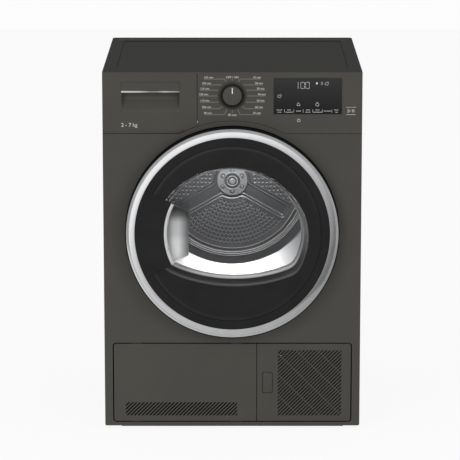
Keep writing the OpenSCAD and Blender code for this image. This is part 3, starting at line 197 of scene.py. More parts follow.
def inset(outline, distance):
    """A counter-clockwise outline moved inwards by a distance, square to its sides."""
    normal = unit(np.roll(outline, -1, 0) - outline)[:, ::-1] * (-1, 1)
    before = np.roll(normal, 1, 0)
    stretch = np.maximum(1 + np.sum(normal * before, -1, keepdims=True), 0.3)
    return outline + distance * (normal + before) / stretch


def slab(outline, y0, y1, edge=0.0, steps=3):
    """Counter-clockwise X-Z outline carried from y0 to y1. The edge at y0 is a quarter circle:
    inset e (1 - sin t) at depth e (1 - cos t)."""
    t = np.radians(np.linspace(0, 90, steps + 1)) if edge else np.array([math.pi / 2])
    layers = [(edge * (1 - math.sin(a)), y0 + edge * (1 - math.cos(a))) for a in t] + [(0, y1)]
    rings = [np.insert(inset(outline, gap) if gap else outline, 1, y, axis=1)
             for gap, y in layers]
    return grid(np.stack(rings, 1), loop_u=True, cap_v=True)


def joined(parts):
    """Several (points, faces) pairs as one."""
    points, faces, start = [], [], 0
    for some_points, some_faces in parts:
        points.append(some_points)
        faces += [[start + i for i in face] for face in some_faces]
        start += len(some_points)
    return np.concatenate(points), faces


def piece(name, shape, body, slot, replaces=(), look=None, crease=32, merge=2e-6):
    """Makes a (points, faces) pair a closed, smooth-shaded mesh that rides on a body. Its look
    is its slot's finish, or another material."""
    points, faces = shape
    mesh = bpy.data.meshes.new(name)
    mesh.from_pydata(((points + (0, FRONT_MM, 0)) * MM).tolist(), [], faces)
    work = bmesh.new()
    work.from_mesh(mesh)
    bmesh.ops.remove_doubles(work, verts=work.verts, dist=merge)
    bmesh.ops.dissolve_degenerate(work, edges=work.edges, dist=1e-7)
    bmesh.ops.recalc_face_normals(work, faces=work.faces)
    work.to_mesh(mesh)
    work.free()
    mesh.polygons.foreach_set("use_smooth", [True] * len(mesh.polygons))
    mesh.set_sharp_from_angle(angle=math.radians(crease))
    mesh.materials.append(look or FINISH[slot])
    obj = bpy.data.objects.new(name, mesh)
    bpy.context.scene.collection.objects.link(obj)
    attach(obj, body)
    if replaces:
        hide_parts(*replaces)
    return obj


# ---------------------------------------------------------------- finishes

def linear(hex_colour):
    """sRGB hex to a linear colour."""
    value = np.array([int(hex_colour[i:i + 2], 16) for i in (1, 3, 5)]) / 255
    value = np.where(value <= 0.04045, value / 12.92, ((value + 0.055) / 1.055) ** 2.4)
    return (*value.tolist(), 1.0)


def add(tree, kind, links=None, **settings):
    """Adds a node, sets its properties and fills its sockets with values or other outputs."""
    node = tree.nodes.new(kind)
    for key, value in settings.items():
        setattr(node, key, value)
    for socket, value in (links or {}).items():
        if isinstance(value, bpy.types.NodeSocket):
            tree.links.new(value, node.inputs[socket])
        else:
            node.inputs[socket].default_value = value
    return node


def finish(name, **sockets):
    """New material with one Principled shader: returns it, its tree, shader and output."""
    material = bpy.data.materials.new(name)
    material.use_nodes = True
    tree = material.node_tree
    tree.nodes.clear()
    shader = add(tree, "ShaderNodeBsdfPrincipled")
    for key, value in sockets.items():
        shader.inputs[key.replace("_", " ")].default_value = value
    output = add(tree, "ShaderNodeOutputMaterial", {"Surface": shader.outputs[0]})
    return material, tree, shader, output


def place(tree, stretch=(1, 1, 1)):
    """Object coordinates in metres, multiplied per axis."""
    where = add(tree, "ShaderNodeTexCoord").outputs["Object"]
    return add(tree, "ShaderNodeMapping", {"Vector": where, "Scale": stretch}).outputs[0]


def along(tree, axis):
    """One object coordinate, in metres."""
    return add(tree, "ShaderNodeSeparateXYZ", {"Vector": place(tree)}).outputs[axis]


def grain(tree, millimetres, detail=2.0, stretch=(1, 1, 1)):
    """Noise whose lumps are about that many millimetres across."""
    links = {"Vector": place(tree, stretch), "Scale": 1 / (millimetres * MM), "Detail": detail}
    return add(tree, "ShaderNodeTexNoise", links).outputs["Fac"]


def vary(tree, shader, factor, colours, rough=None, low=0.3, high=0.7):
    """Links a two-colour variation, and a roughness range if given, to a shader."""
    share = add(tree, "ShaderNodeMapRange", {"Value": factor, "From Min": low, "From Max": high})
    mix = add(tree, "ShaderNodeMix", {"Factor": share.outputs[0]}, data_type="RGBA")
    for socket, colour in zip((6, 7), colours):
        mix.inputs[socket].default_value = linear(colour)
    tree.links.new(mix.outputs[2], shader.inputs["Base Color"])
    if rough:
        span = add(tree, "ShaderNodeMapRange", {"Value": factor, "From Min": low, "From Max": high,
                                                "To Min": rough[0], "To Max": rough[1]})
        tree.links.new(span.outputs[0], shader.inputs["Roughness"])


def emboss(tree, shader, height, millimetres):
    """Bump of that many millimetres from a height."""
    bump = add(tree, "ShaderNodeBump",
               {"Height": height, "Distance": millimetres * MM, "Strength": 1.0})
    tree.links.new(bump.outputs[0], shader.inputs["Normal"])


def coat(name, colours, lumps, rough=None, bump=None, **sockets):
    """Material with a two-colour grain and a roughness range. The lumps are the arguments of
    grain, and a bump is (lumps across, detail, height), in millimetres."""
    material, tree, shader, _ = finish(name, **sockets)
    vary(tree, shader, grain(tree, *lumps), colours, rough)
    if bump:
        across, detail, height = bump
        emboss(tree, shader, grain(tree, across, detail), height)
    return material


def ink(name, colours, gloss=0.5):
    """Pad-printed ink: matt and slightly uneven."""
    return coat(name, colours, (2,), (0.55, 0.65), Roughness=0.6, Specular_IOR_Level=gloss)


def graded(tree, shader, *ramps):
    """Base colour from ramps that are multiplied. A ramp is a coordinate, where it starts and
    ends in millimetres, and its (share, colour) stops."""
    colour = None
    for value, start, end, stops in ramps:
        share = add(tree, "ShaderNodeMapRange",
                    {"Value": value, "From Min": start * MM, "From Max": end * MM})
        ramp = add(tree, "ShaderNodeValToRGB", {"Fac": share.outputs[0]})
        elements = ramp.color_ramp.elements
        for i, (at, shade) in enumerate(stops):
            stop = elements[i] if i < 2 else elements.new(at)
            stop.position, stop.color = at, linear(shade)
        colour = ramp.outputs[0] if colour is None else add(
            tree, "ShaderNodeMix", {"Factor": 1.0, 6: colour, 7: ramp.outputs[0]},
            data_type="RGBA", blend_type="MULTIPLY").outputs[2]
    tree.links.new(colour, shader.inputs["Base Color"])


def mix_surfaces(tree, output, share, first, second):
    """Surface that goes from the first shader to the second as the share goes from 0 to 1."""
    mix = add(tree, "ShaderNodeMixShader", {0: share, 1: first.outputs[0], 2: second.outputs[0]})
    tree.links.new(mix.outputs[0], output.inputs["Surface"])


def galvanised_sheet():
    """Hot-dip galvanised steel: flat crystals of zinc 8 mm across, each a shade apart."""
    material, tree, shader, _ = finish("galvanised_steel", Metallic=1.0, Roughness=0.42)
    cells = add(tree, "ShaderNodeTexVoronoi", {"Vector": place(tree), "Scale": 1 / (8 * MM)})
    shade = add(tree, "ShaderNodeSeparateColor", {"Color": cells.outputs["Color"]}).outputs[0]
    vary(tree, shader, shade, ("#a3a7ab", "#bcc0c3"), (0.36, 0.5), 0.0, 1.0)
    return material


def clear_bowl():
    """Clear tempered glass, 4 mm thick: light rays that make shadows pass straight through."""
    tint = linear("#fdfdfd")
    material, tree, shader, output = finish("clear_tempered_glass", Roughness=0.0, IOR=1.5,
                                            Base_Color=tint, Transmission_Weight=1.0)
    ray = add(tree, "ShaderNodeLightPath").outputs["Is Shadow Ray"]
    clear = add(tree, "ShaderNodeBsdfTransparent", {"Color": tint})
    mix_surfaces(tree, output, ray, shader, clear)
    return material


def smoke_plastic():
    """Smoke-tinted polycarbonate with painted light and shade graded into its tint: painted shade
    at the top of the grip pocket and beside its right wall and its strip, painted light at the
    bottom."""
    material, tree, shader, output = finish("smoke_polycarbonate_painted_shade", Roughness=0.35, IOR=1.58)
    # painted shade at the top of the pocket, painted light towards the bottom
    upwards = [(0.0, "#ffffff"), (0.36, "#fcfdfe"), (0.47, "#e2e3e4"), (0.66, "#dedfe0"),
               (0.77, "#808182"), (0.87, "#3c3d3e"), (1.0, "#222323")]
    # painted shade beside the strip and beside the pocket's right wall
    across = [(0.0, "#8c8c8c"), (0.36, "#ffffff"), (0.6, "#ffffff"), (0.96, "#888888")]
    graded(tree, shader, (along(tree, "Z"), DOOR_Z - 75, DOOR_Z + 75, upwards),
           (along(tree, "X"), -GRIP_R, -POCKET_X, across))
    emboss(tree, shader, grain(tree, 0.9, 1.0), 0.01)
    clear = add(tree, "ShaderNodeBsdfTransparent", {"Color": linear("#e4e5e6")})
    mix_surfaces(tree, output, 0.2, shader, clear)
    return material


def knob_painted_shadow():
    """Painted shadow round the knob: black beside the knob, fading outwards into the panel's
    graphite.
    """
    material, tree, shader, _ = finish("knob_shadow_fade", Roughness=0.5, IOR=1.5,
                                       Specular_IOR_Level=0.3)
    # centred a little below the knob, so the painted shadow reaches further underneath
    centre = (0, FRONT_MM * MM, (KNOB_Z - 1.4) * MM)
    away = add(tree, "ShaderNodeVectorMath", {0: place(tree), 1: centre}, operation="DISTANCE")
    graded(tree, shader, (away.outputs["Value"], 22, 34,
                          [(0.0, "#060606"), (0.33, "#141413"), (0.5, "#262522"),
                           (0.75, "#3d3a36"), (1.0, "#44413c")]))
    return material


def wall_print_and_highlight():
    """Ceramic print on the wall of the glass bowl, in bands from front to back: dark grey, black,
    and a painted highlight of light grey with a dark edge. Painted shade darkens it upwards."""
    material, tree, shader, _ = finish("banded_print_and_painted_highlight", Roughness=0.4, IOR=1.5)
    # print in dark grey and black, then a painted highlight in light grey
    backwards = [(0.0, "#545454"), (0.18, "#585858"), (0.22, "#1c1c1c"), (0.64, "#1c1c1c"),
                 (0.68, "#c0c0c0"), (0.82, "#e0e0e0"), (0.90, "#c8c8c8"), (0.95, "#5c5c5c"),
                 (1.0, "#3c3c3c")]
    # painted light at the bottom of the bowl, painted shade upwards
    upwards = [(0.0, "#ffffff"), (0.25, "#c4c4c4"), (0.6, "#8c8c8c"), (0.85, "#303030"),
               (1.0, "#101010")]
    graded(tree, shader, (along(tree, "Y"), FRONT_MM + GLASS_Y0, FRONT_MM + 37, backwards),
           (along(tree, "Z"), DOOR_Z - 100, DOOR_Z + 80, upwards))
    return material


def strip_painted_reflection():
    """Painted reflection on the tank's chrome strip: bright at the left end, darker in the middle.
    """
    material, tree, shader, _ = finish("chrome_strip_painted_reflection", Metallic=1.0, Roughness=0.16)
    # painted reflection along the strip
    graded(tree, shader, (along(tree, "X"), SCOOP_X0, SCOOP_X1,
                          [(0.0, "#ffffff"), (0.05, "#f4f4f4"), (0.28, "#eeeeee"),
                           (0.5, "#a6a6a6"), (0.6, "#a6a6a6"), (0.74, "#dddddd"),
                           (0.9, "#bcbcbc"), (1.0, "#a8a8a8")]))
    return material


def display_black():
    """Smoked acrylic window: black at the bottom edge and a little greyer at the top."""
    material, tree, shader, _ = finish("smoked_acrylic", Roughness=0.12, IOR=1.49)
    low, high = (corner[2] for corner in size("display_window"))
    graded(tree, shader, (along(tree, "Z"), low, high, [(0.0, "#161617"), (1.0, "#303031")]))
    return material


# The finish of each material slot
FINISH = {
    # Graphite powder paint on steel sheet: a fine orange-peel surface under a satin gloss
    "painted_sheet": coat("graphite_powder_paint", ("#413f3a", "#45423d"), (120,), (0.40, 0.46),
                          (1.6, 1.0, 0.02), Roughness=0.42, IOR=1.5),
    # Graphite-coloured ABS moulding, spark-eroded to a very fine matt texture
    "fascia_plastic": coat("graphite_moulded_abs", ("#423f3a", "#46433d"), (90,), (0.46, 0.52),
                           (0.7, 1.0, 0.015), Roughness=0.48, IOR=1.5),
    # Laminated board in a darker graphite: matt, with a close pearl grain
    "worktop_board": coat("graphite_laminate", ("#282923", "#2c2d27"), (1.2, 3.0), (0.58, 0.68),
                          (0.9, 2.0, 0.03), Roughness=0.62, IOR=1.45, Specular_IOR_Level=0.2),
    "galvanised_sheet": galvanised_sheet(),
    # Polished stainless sheet: faint rolling lines 0.8 mm apart run round the drum
    "stainless_drum": coat("polished_stainless", ("#dcddde", "#e4e5e6"),
                           (0.8, 2.0, (0.02, 1, 0.02)), (0.32, 0.37),
                           Metallic=1.0, Roughness=0.34),
    # Pressed stainless back plate with a dull, dark surface
    "drum_back_steel": coat("dull_pressed_stainless", ("#6a6b6d", "#707173"), (14, 3.0),
                            (0.5, 0.54), (0.8, 1.0, 0.01), Metallic=0.9, Roughness=0.52),
    # Bright chrome plating on plastic: mirror-like, with a trace of haze
    "chrome_trim": coat("bright_chrome_plate", ("#dcdddf", "#e4e5e6"), (35,), (0.10, 0.14),
                        Metallic=1.0, Roughness=0.12),
    # Black ABS polished to a high gloss
    "gloss_black": coat("gloss_black_abs", ("#232323", "#272727"), (60,), (0.08, 0.12),
                        Roughness=0.1, IOR=1.5, Specular_IOR_Level=0.22),
    # Black polypropylene straight from the mould: a fine dull grain
    "black_plastic": coat("moulded_black_polypropylene", ("#101011", "#161617"), (25,),
                          (0.55, 0.65), (0.6, 1.0, 0.02), Roughness=0.6, IOR=1.49,
                          Specular_IOR_Level=0.12),
    # Light grey polypropylene moulding
    "grey_plastic": coat("moulded_grey_polypropylene", ("#8b8d8f", "#949698"), (25,),
                         (0.42, 0.5), (0.8, 1.0, 0.02), Roughness=0.45, IOR=1.49),
    "clear_bowl": clear_bowl(),
    "smoke_plastic": smoke_plastic(),
    # Satin bright-plated trim strip
    "bright_strip": coat("satin_bright_plate", ("#dcdddd", "#e6e7e7"), (20,), (0.26, 0.34),
                         Metallic=0.6, Roughness=0.3),
    "display_black": display_black(),
    # Circuit board: green solder mask with a slight weave from the glass cloth under it
    "board_green": coat("solder_mask", ("#155c2c", "#1b6a35"), (3,), (0.3, 0.4),
                        (0.5, 1.0, 0.02), Roughness=0.35, IOR=1.5),
    # Translucent white polyethylene, a little cloudy
    "tank_plastic": coat("cloudy_polyethylene", ("#d7dcde", "#e1e5e6"), (45,), (0.34, 0.42),
                         Roughness=0.38, IOR=1.51, Subsurface_Weight=0.25,
                         Subsurface_Radius=(0.006, 0.006, 0.006)),
    # Needled wool felt: short fibres in every direction, about 0.8 mm
    "felt": coat("needled_wool_felt", ("#b1aa9b", "#cac3b4"), (0.8, 4.0), None,
                 (0.8, 4.0, 0.3), Roughness=0.95, Sheen_Weight=0.4),
    # Black EPDM rubber with a dusty bloom
    "rubber_black": coat("epdm_rubber", ("#161616", "#202020"), (9, 3.0), (0.65, 0.8),
                         (0.5, 1.0, 0.03), Roughness=0.7, IOR=1.52),
    # Zinc-plated steel with a faint brushed grain
    "zinc_steel": coat("zinc_plated_steel", ("#9b9ea2", "#b3b6ba"), (2, 2.0, (0.1, 1, 1)),
                       (0.26, 0.38), Metallic=1.0, Roughness=0.32),
    # Thin aluminium fins, mill finish
    "fin_aluminium": coat("mill_finish_aluminium", ("#c4c6c8", "#d4d6d8"),
                          (3, 2.0, (1, 0.1, 1)), (0.32, 0.44), Metallic=1.0, Roughness=0.38),
    # Heater sheath: nickel steel browned by heat
    "heater_steel": coat("heat_browned_nickel_steel", ("#6a5d50", "#857868"), (12, 3.0),
                         (0.4, 0.52), Metallic=1.0, Roughness=0.45),
    # Red acetal for the parts that a hand should find
    "lever_plastic": coat("red_acetal", ("#b8321d", "#c43b24"), (12,), (0.32, 0.4),
                          Roughness=0.35, IOR=1.48),
    # Natural white nylon
    "wheel_plastic": coat("natural_nylon", ("#cfcdc6", "#d9d7d0"), (10,), (0.38, 0.46),
                          Roughness=0.42, IOR=1.53),
    "pointer_white": ink("white_printing_ink", ("#e6e6e6", "#f2f2f2")),
}

# Blasted zinc-plated steel: an even mid grey
HUB_STEEL = coat("blasted_zinc_steel", ("#898b8d", "#919395"), (6,), (0.45, 0.55),
                 (0.7, 1.0, 0.01), Metallic=0.35, Roughness=0.5)
# Painted highlight: a bright lip on the lower edge of each dimple
DIMPLE_PAINTED_HIGHLIGHT = coat("dimple_painted_highlight", ("#cfd0d1", "#dcdddd"), (9,), (0.5, 0.56),
                   Metallic=0.8, Roughness=0.52)
# Painted highlight along the crest of each pressed ridge
CREST_PAINTED_HIGHLIGHT = coat("ridge_crest_painted_highlight", ("#f2f2f2", "#f8f8f8"), (9,), (0.36, 0.44),
             Metallic=0.3, Roughness=0.4)
KNOB_PAINTED_SHADOW, WALL_PRINT_AND_HIGHLIGHT, STRIP_PAINTED_REFLECTION = knob_painted_shadow(), wall_print_and_highlight(), strip_painted_reflection()
GREY_INK = ink("grey_printing_ink", ("#716f69", "#7b7973"))
PALE_INK = ink("pale_printing_ink", ("#d0cfc9", "#d9d8d2"))
LIT_INK = ink("lit_display_grey", ("#b4b6b8", "#bcbec0"))
# Painted shadow: near-black ink for the shadow gap round the door's ring
GAP_PAINTED_SHADOW = ink("gap_painted_shadow", ("#060606", "#0a0a0a"), 0.02)
# Painted shade: dark grey floors of the hub's recesses
HUB_RECESS_PAINTED_SHADE = ink("hub_recess_painted_shade", ("#3c3d3e", "#434445"))
# Painted shade in the worktop's groove, and a painted highlight along its back edge
TOP_SHADE = ink("groove_shade", ("#2b2b26", "#2e2e29"), 0.02)
TOP_PAINTED_HIGHLIGHT = ink("worktop_painted_highlight", ("#36372f", "#393a33"), 0.2)


def dress_nodes():
    """Gives each construction node the finish of its material slot."""
    for part in frame["record"]["subparts"]:
        mesh = frame["nodes"][part["node"]].data
        mesh.materials.clear()
        mesh.materials.append(FINISH[part["material_slot"]])


# ---------------------------------------------------------------- door

def around(radius, angle, y):
    """Points at a radius and an angle about the door's axis: (r cos t, y, z + r sin t)."""
    radius, angle, y = np.broadcast_arrays(radius, angle, y)
    return np.stack([radius * np.cos(angle), y, DOOR_Z + radius * np.sin(angle)], -1)


def soft_least(ways, soft):
    """Least of several distances with rounded corners: -s log(sum of exp(-w / s))."""
    return -soft * np.log(sum(np.exp(-way / soft) for way in ways))


def window_reach(angle, grow):
    """How far the D-shaped window reaches from the door's axis: the soft least of the ways out
    of its three discs, each grown by the same amount."""
    ways = []
    for x, z, radius in WINDOW_DISCS:
        inwards = x * np.cos(angle) + z * np.sin(angle)
        ways.append(inwards + np.sqrt((radius + grow) ** 2 - (x * x + z * z - inwards ** 2)))
    return soft_least(ways, 4.5)


def door_ring():
    """Chrome ring: a flat face, a fine step and a bevel, turned about the door's axis. A thin
    black strip on the panel, where the ring comes down, is painted shadow for the gap round it."""
    f = RING_LOW[1]
    r = DOOR_R - 0.5
    profile = rounded([(r - 20.1, f + 6.5, 0.2), (r - 20.1, f + 0.5, 0.3), (r - 19.7, f, 0.3),
                       (r - 6.6, f + 1.7, 0.4), (r - 6.2, f + 2.6, 0.2), (r - 5.6, f + 2.6, 0.2),
                       (r - 5.2, f + 2.0, 0.4), (r - 0.5, f + 4.4, 0.9), (r, f + 6.2, 0.2),
                       (r - 3, f + 6.2, 0.2), (r - 3, f + 5, 0.5), (r - 17, f + 3.5, 0.5),
                       (r - 17, f + 6.5, 0.2)])
    piece("door_ring_trim", lathe(profile, 0, DOOR_Z, 240), "door", "chrome_trim", ["door_ring"])
    # painted shadow on the panel, round the ring's outer edge
    gap = lathe(band(GAP_R0, GAP_R1, -0.1, 0.2), 0, DOOR_Z + 0.5, 240)
    piece("door_gap_painted_shadow", gap, "cabinet", "black_plastic", look=GAP_PAINTED_SHADOW)


def door_surround():
    """Gloss surround: for each angle a closed section from the window's edge, over the groove,
    to the ring. It leaves out the grip sector, and a round skirt stands behind it."""
    angle = np.radians(np.linspace(-180 + GRIP_ANGLE, 180 - GRIP_ANGLE, 260))[:, None]
    outer = DOOR_R - RING_W
    groove = 205.6
    f = FACE_Y
    inner = np.array([(0, f + FACE_T), (0, f + 0.9), (0.25, f + 0.25), (0.9, f)])
    far = np.array([(groove - 11, f), (groove - 6, f + 0.12), (groove - 3, f + 0.4),
                    (groove - 1.2, f + 1.0), (groove + 0.3, f + 1.8), (groove + 0.9, f + 0.3),
                    (groove + 1.2, f), (outer - 0.6, f), (outer, f + 0.6), (outer, f + FACE_T)])
    far_r = np.broadcast_to(far[:, 0], (len(angle), len(far)))
    radius = np.concatenate([window_reach(angle, 0) + inner[:, 0], far_r], 1)
    y = np.concatenate([inner[:, 1], far[:, 1]])
    face = grid(around(radius, angle, y), loop_v=True, cap_u=True)
    skirt = lathe(band(191, 194, f + FACE_T, min(RING_HIGH[1], -6.3)), 0, DOOR_Z)
    piece("door_surround_gloss", joined([face, skirt]), "door", "gloss_black",
          ["door_surround"], crease=15)


def sector(inner, outer, half_angle):
    """Counter-clockwise outline of a ring sector to the left of the door's axis."""
    out = arc(0, DOOR_Z, outer, 180 - half_angle, 180 + half_angle, 48)
    back = arc(0, DOOR_Z, inner, 180 + half_angle, 180 - half_angle, 48)
    return np.concatenate([out, back])


def door_grip():
    """Grip plate between the ring and the strip, and the bright strip along its inner edge."""
    half = GRIP_ANGLE - 0.14
    back = FACE_Y + FACE_T
    plate = slab(sector(GRIP_R + 0.3, DOOR_R - RING_W, half), FACE_Y, back, edge=0.5)
    piece("door_grip_plate_gloss", plate, "door", "gloss_black", ["door_grip_plate"], crease=15)
    strip = slab(sector(GRIP_R - STRIP_W, GRIP_R, half), FACE_Y - 0.3, back, edge=1.2, steps=5)
    piece("door_grip_strip_bright", strip, "door", "bright_strip", ["door_grip_strip"])


def door_pocket():
    """Finger pocket: rings of one outline, inset and set back, make a cup with soft corners."""
    half = GRIP_ANGLE - 0.5
    rise = POCKET_X * math.tan(math.radians(half))
    edge = arc(0, DOOR_Z, POCKET_R, 180 - half, 180 + half, 40)
    outline = rounded([*[(*point, 0) for point in edge],
                       (-POCKET_X, DOOR_Z - rise, 4.5), (-POCKET_X, DOOR_Z + rise, 4.5)])
    back = POCKET_BACK
    levels = [(3.6, back - 2), (3.4, back - 2.1), (2.6, back - 3.4), (2.2, back - 6),
              (2, back - 9), (2, GLASS_Y0), (0, GLASS_Y0), (0, back - 1.5), (0.5, back - 0.5),
              (1.5, back)]
    rings = [np.insert(inset(outline, gap), 1, y, axis=1) for gap, y in levels]
    first, last = ([ring.mean(0) + (ring - ring.mean(0)) * share for share in (0, 0.5)]
                   for ring in (rings[0], rings[-1]))
    piece("door_grip_pocket_cup", grid(np.stack([*first, *rings, *last[::-1]], 1), loop_u=True),
          "door", "smoke_plastic", ["door_grip_pocket"])


def door_bowl():
    """Glass bowl: a section of (growth, y) points carried round the window's outline. The
    section runs from the middle of the back, along the outside, the flange and the inside.
    Behind the finger pocket the section starts further back, and has no flange."""
    y0, y1 = GLASS_Y0, GLASS_Y1
    floor_y = y1 - GLASS_T
    cut = math.radians(GRIP_ANGLE + 0.9)
    angle = np.concatenate([
        np.linspace(math.pi - cut, math.pi + cut, 60),
        np.linspace(math.pi + cut + 1e-3, 3 * math.pi - cut - 1e-3, 280)])[:, None]
    deep = GLASS_T - GLASS_DRAFT
    outside = rounded([(deep - 40, y1, 0), (deep, y1, 7), (GLASS_T - 0.9, y0 + 3, 0.8),
                       (6, y0 + 3, 0.4), (6, y0, 0.4), (3, y0, 0)], closed=False, steps=6)
    inside = rounded([(2, y0, 0), (0, y0, 0.8), (-GLASS_DRAFT, floor_y, 5),
                      (-GLASS_DRAFT - 40, floor_y, 0)], closed=False, steps=6)
    start = np.where(np.abs(angle - math.pi) <= cut, POCKET_BACK + 0.3, y0)
    growths, depths = [], []
    for side, grow, end in ((outside, GLASS_T, y1), (inside, 0, floor_y)):
        hidden = side[:, 1] < start
        growth = grow - GLASS_DRAFT * (start - y0) / (end - y0)
        growths.append(np.where(hidden, growth, side[:, 0]))
        depths.append(np.where(hidden, start, side[:, 1]))
    radius = window_reach(angle, np.concatenate(growths, 1))
    shares = np.array([0, 0.5])
    radius = np.concatenate([radius[:, :1] * shares, radius, radius[:, -1:] * shares[::-1]], 1)
    flat = np.ones((len(angle), 2))
    y = np.concatenate([flat * y1, *depths, flat * floor_y], 1)
    piece("door_glass_bowl", grid(around(radius, angle, y), loop_u=True), "door", "clear_bowl",
          ["door_glass"])


def bowl_print_and_highlight():
    """Print and painted highlight inside the bowl's wall: a thin closed strip round the outline.
    """
    cut = math.radians(GRIP_ANGLE + 1.4)
    angle = np.linspace(math.pi + cut, 3 * math.pi - cut, 300)[:, None]
    y0, y1 = GLASS_Y0 + 0.5, GLASS_Y1 - GLASS_T
    y = np.array([y0, y0 + 10, y0 + 20, y0 + 40, y1 - 5, y1 - 3.4, y1 - 3.6, y1 - 6, y0 + 20, y0])
    lean = GLASS_DRAFT * (y - GLASS_Y0) / (y1 - GLASS_Y0)
    below = np.array([0.3, 0.3, 0.3, 0.3, 0.3, 0.9, 1.3, 0.9, 0.9, 0.9])
    strip = around(window_reach(angle, -lean - below), angle, y)
    piece("door_bowl_print_and_highlight", grid(strip, loop_v=True, cap_u=True), "door", "gloss_black",
          look=WALL_PRINT_AND_HIGHLIGHT)


# ---------------------------------------------------------------- drum

def arms_distance(x, z):
    """Distance outside the three pressed arms and the hub's seat: the soft least of a circle's
    distance and three rounded boxes' distances."""
    ways = [np.hypot(x, z) - SEAT_R]
    for degrees in ARM_ANGLES:
        ux, uz = math.cos(math.radians(degrees)), math.sin(math.radians(degrees))
        forth, across = x * ux + z * uz, np.abs(x * uz - z * ux)
        past_end = np.maximum(np.abs(forth - ARM_END / 2) - ARM_END / 2 + ARM_CORNER, 0)
        past_side = np.maximum(across - ARM_HALF + ARM_CORNER, 0)
        ways.append(np.hypot(past_end, past_side) - ARM_CORNER)
    return soft_least(ways, 2.5)


def step(value, low, high):
    """Smooth step from 0 at low to 1 at high."""
    t = np.clip((value - low) / (high - low), 0, 1)
    return t * t * (3 - 2 * t)


def plate_relief(x, z):
    """Height of the back plate's pressing: the corrugated edge's profile by radius, taken down
    to the arms' floor in two steps, each with a slightly raised lip."""
    edge = np.interp(np.hypot(x, z), *zip(*EDGE))
    gap = arms_distance(x, z)
    share, lips = 0, 0
    for past in (gap, gap + ARM_STEP):
        share = share + 0.5 * step(past, -1.3, 1.3)
        lips = lips + 0.7 * np.exp(-((past - 1.5) / 1.2) ** 2)
    return edge * share + lips


def drum_plate():
    """Back plate: a polar grid of the relief, closed by a flat back. Along the crest of each ridge
    of its edge lies a bright band of painted highlight."""
    radii = np.concatenate([np.linspace(0, 30, 4), np.linspace(34, 160, 92),
                            np.linspace(161, 196, 50), [203, PLATE_R - 0.5, PLATE_R, PLATE_R, 0]])
    angle = np.linspace(0, FULL_TURN, 600, endpoint=False)[:, None]
    x, z = radii * np.cos(angle), radii * np.sin(angle)
    y = PLATE_Y - plate_relief(x, z)
    y[:, -2:] = PLATE_Y + 1
    piece("drum_back_pressing", grid(np.stack([x, y, DRUM_Z + z], -1), loop_u=True), "drum",
          "drum_back_steel", ["drum_back_plate"])
    # painted highlight on each crest
    crest = np.array([(-0.7, 0.4), (-0.3, -0.35), (0.3, -0.35), (0.7, 0.4)])
    crests = [lathe(crest + (radius, PLATE_Y - height), 0, DRUM_Z, 240)
              for radius, height in EDGE_CRESTS]
    piece("drum_ridge_crest_highlights", joined(crests), "drum", "drum_back_steel", look=CREST_PAINTED_HIGHLIGHT)


def dimples():
    """Pierced dimples in rings one pitch apart, each ring with six fewer than the one outside
    it. A dimple is a lathed rim, with a short outer slope and a long inner one, a black disc in
    the hole as painted shade, and a bright lip below as painted highlight: a V that meets the
    next one, or above the arms a short bow."""
    places = []
    for ring in range(PIT_RINGS):
        radius, count = PIT_R - PIT_PITCH * ring, PIT_COUNT - 6 * ring
        angle = -math.pi / 2 + (np.arange(count) + 0.5 * (ring % 2)) * FULL_TURN / count
        places.append(np.stack([radius * np.cos(angle), radius * np.sin(angle)], -1))
    places = np.concatenate(places)
    places = places[arms_distance(places[:, 0], places[:, 1]) > 5.5]
    front = PLATE_Y - FIELD
    rim = np.array([(4.9, 0.3), (4.6, -0.6), (4.2, -0.8), (3.0, -0.1), (1.1, -0.05), (1.1, 0.3)])
    floor = np.array([(0, 0.3), (1.15, 0.3), (1.15, -0.07), (0, -0.07)])
    # bright lip: the painted highlight below each dimple
    lip = np.array([(-0.7, 0.3), (-0.7, -0.9), (0.1, -1.3), (0.7, -0.4), (0.7, 0.3)])
    side = np.linspace(-1, 1, 9)[:, None]
    slope = -math.tan(math.radians(30))         # of the arms, away from the middle
    rims, floors, lips = [], [], []
    for a, b in places:
        reach, rise = (2.9, 1.8) if b > slope * abs(a) else (4.7, 5.2)
        edge = np.stack([a + reach * side + 0 * lip[:, 0], front + lip[:, 1] + 0 * side,
                         DRUM_Z + b - 4.4 + rise * abs(side) + lip[:, 0]], -1)
        lips.append(grid(edge, loop_v=True, cap_u=True))
        rims.append(lathe(rim + (0, front), a, DRUM_Z + b, 12))
        floors.append(lathe(floor + (0, front), a, DRUM_Z + b, 12, solid=True))
    piece("drum_dimple_rims", joined(rims), "drum", "drum_back_steel", crease=80)
    # painted highlight on the lower lips
    piece("drum_dimple_painted_highlights", joined(lips), "drum", "drum_back_steel", look=DIMPLE_PAINTED_HIGHLIGHT, crease=80)
    # painted shade: black discs in the holes
    piece("drum_dimple_hole_shade", joined(floors), "drum", "black_plastic")


def drum_barrel():
    """Drum wall: rolled front edge, four shallow beads, and the flare that meets the plate."""
    r = DRUM_HIGH[0] - 1
    y0, y1 = DRUM_LOW[1], DRUM_HIGH[1]
    start = y1 - FLARE - 1.3
    wall = [(MOUTH_R, y0, 0.3), (r - 5, y0, 5), (r + 1, y0 + 7, 4), (r + 1, start, 6),
            (PLATE_R + 1.5, y1, 0.4), (PLATE_R - 3, y1, 0.3), (PLATE_R - 3, y1 - 1, 0.3),
            (PLATE_R + 0.8, y1 - 1, 2), (r, start, 14)]
    for bead in np.linspace(start - 60, y0 + 60, 4):
        wall += [(r, bead + 7, 3), (r - 1.6, bead, 3), (r, bead - 7, 3)]
    wall += [(r, y0 + 7, 4), (r - 6, y0 + 1.2, 3), (MOUTH_R, y0 + 1.2, 0.3)]
    piece("drum_barrel", lathe(rounded(wall), 0, DRUM_Z, 256), "drum", "stainless_drum",
          ["drum_shell"])


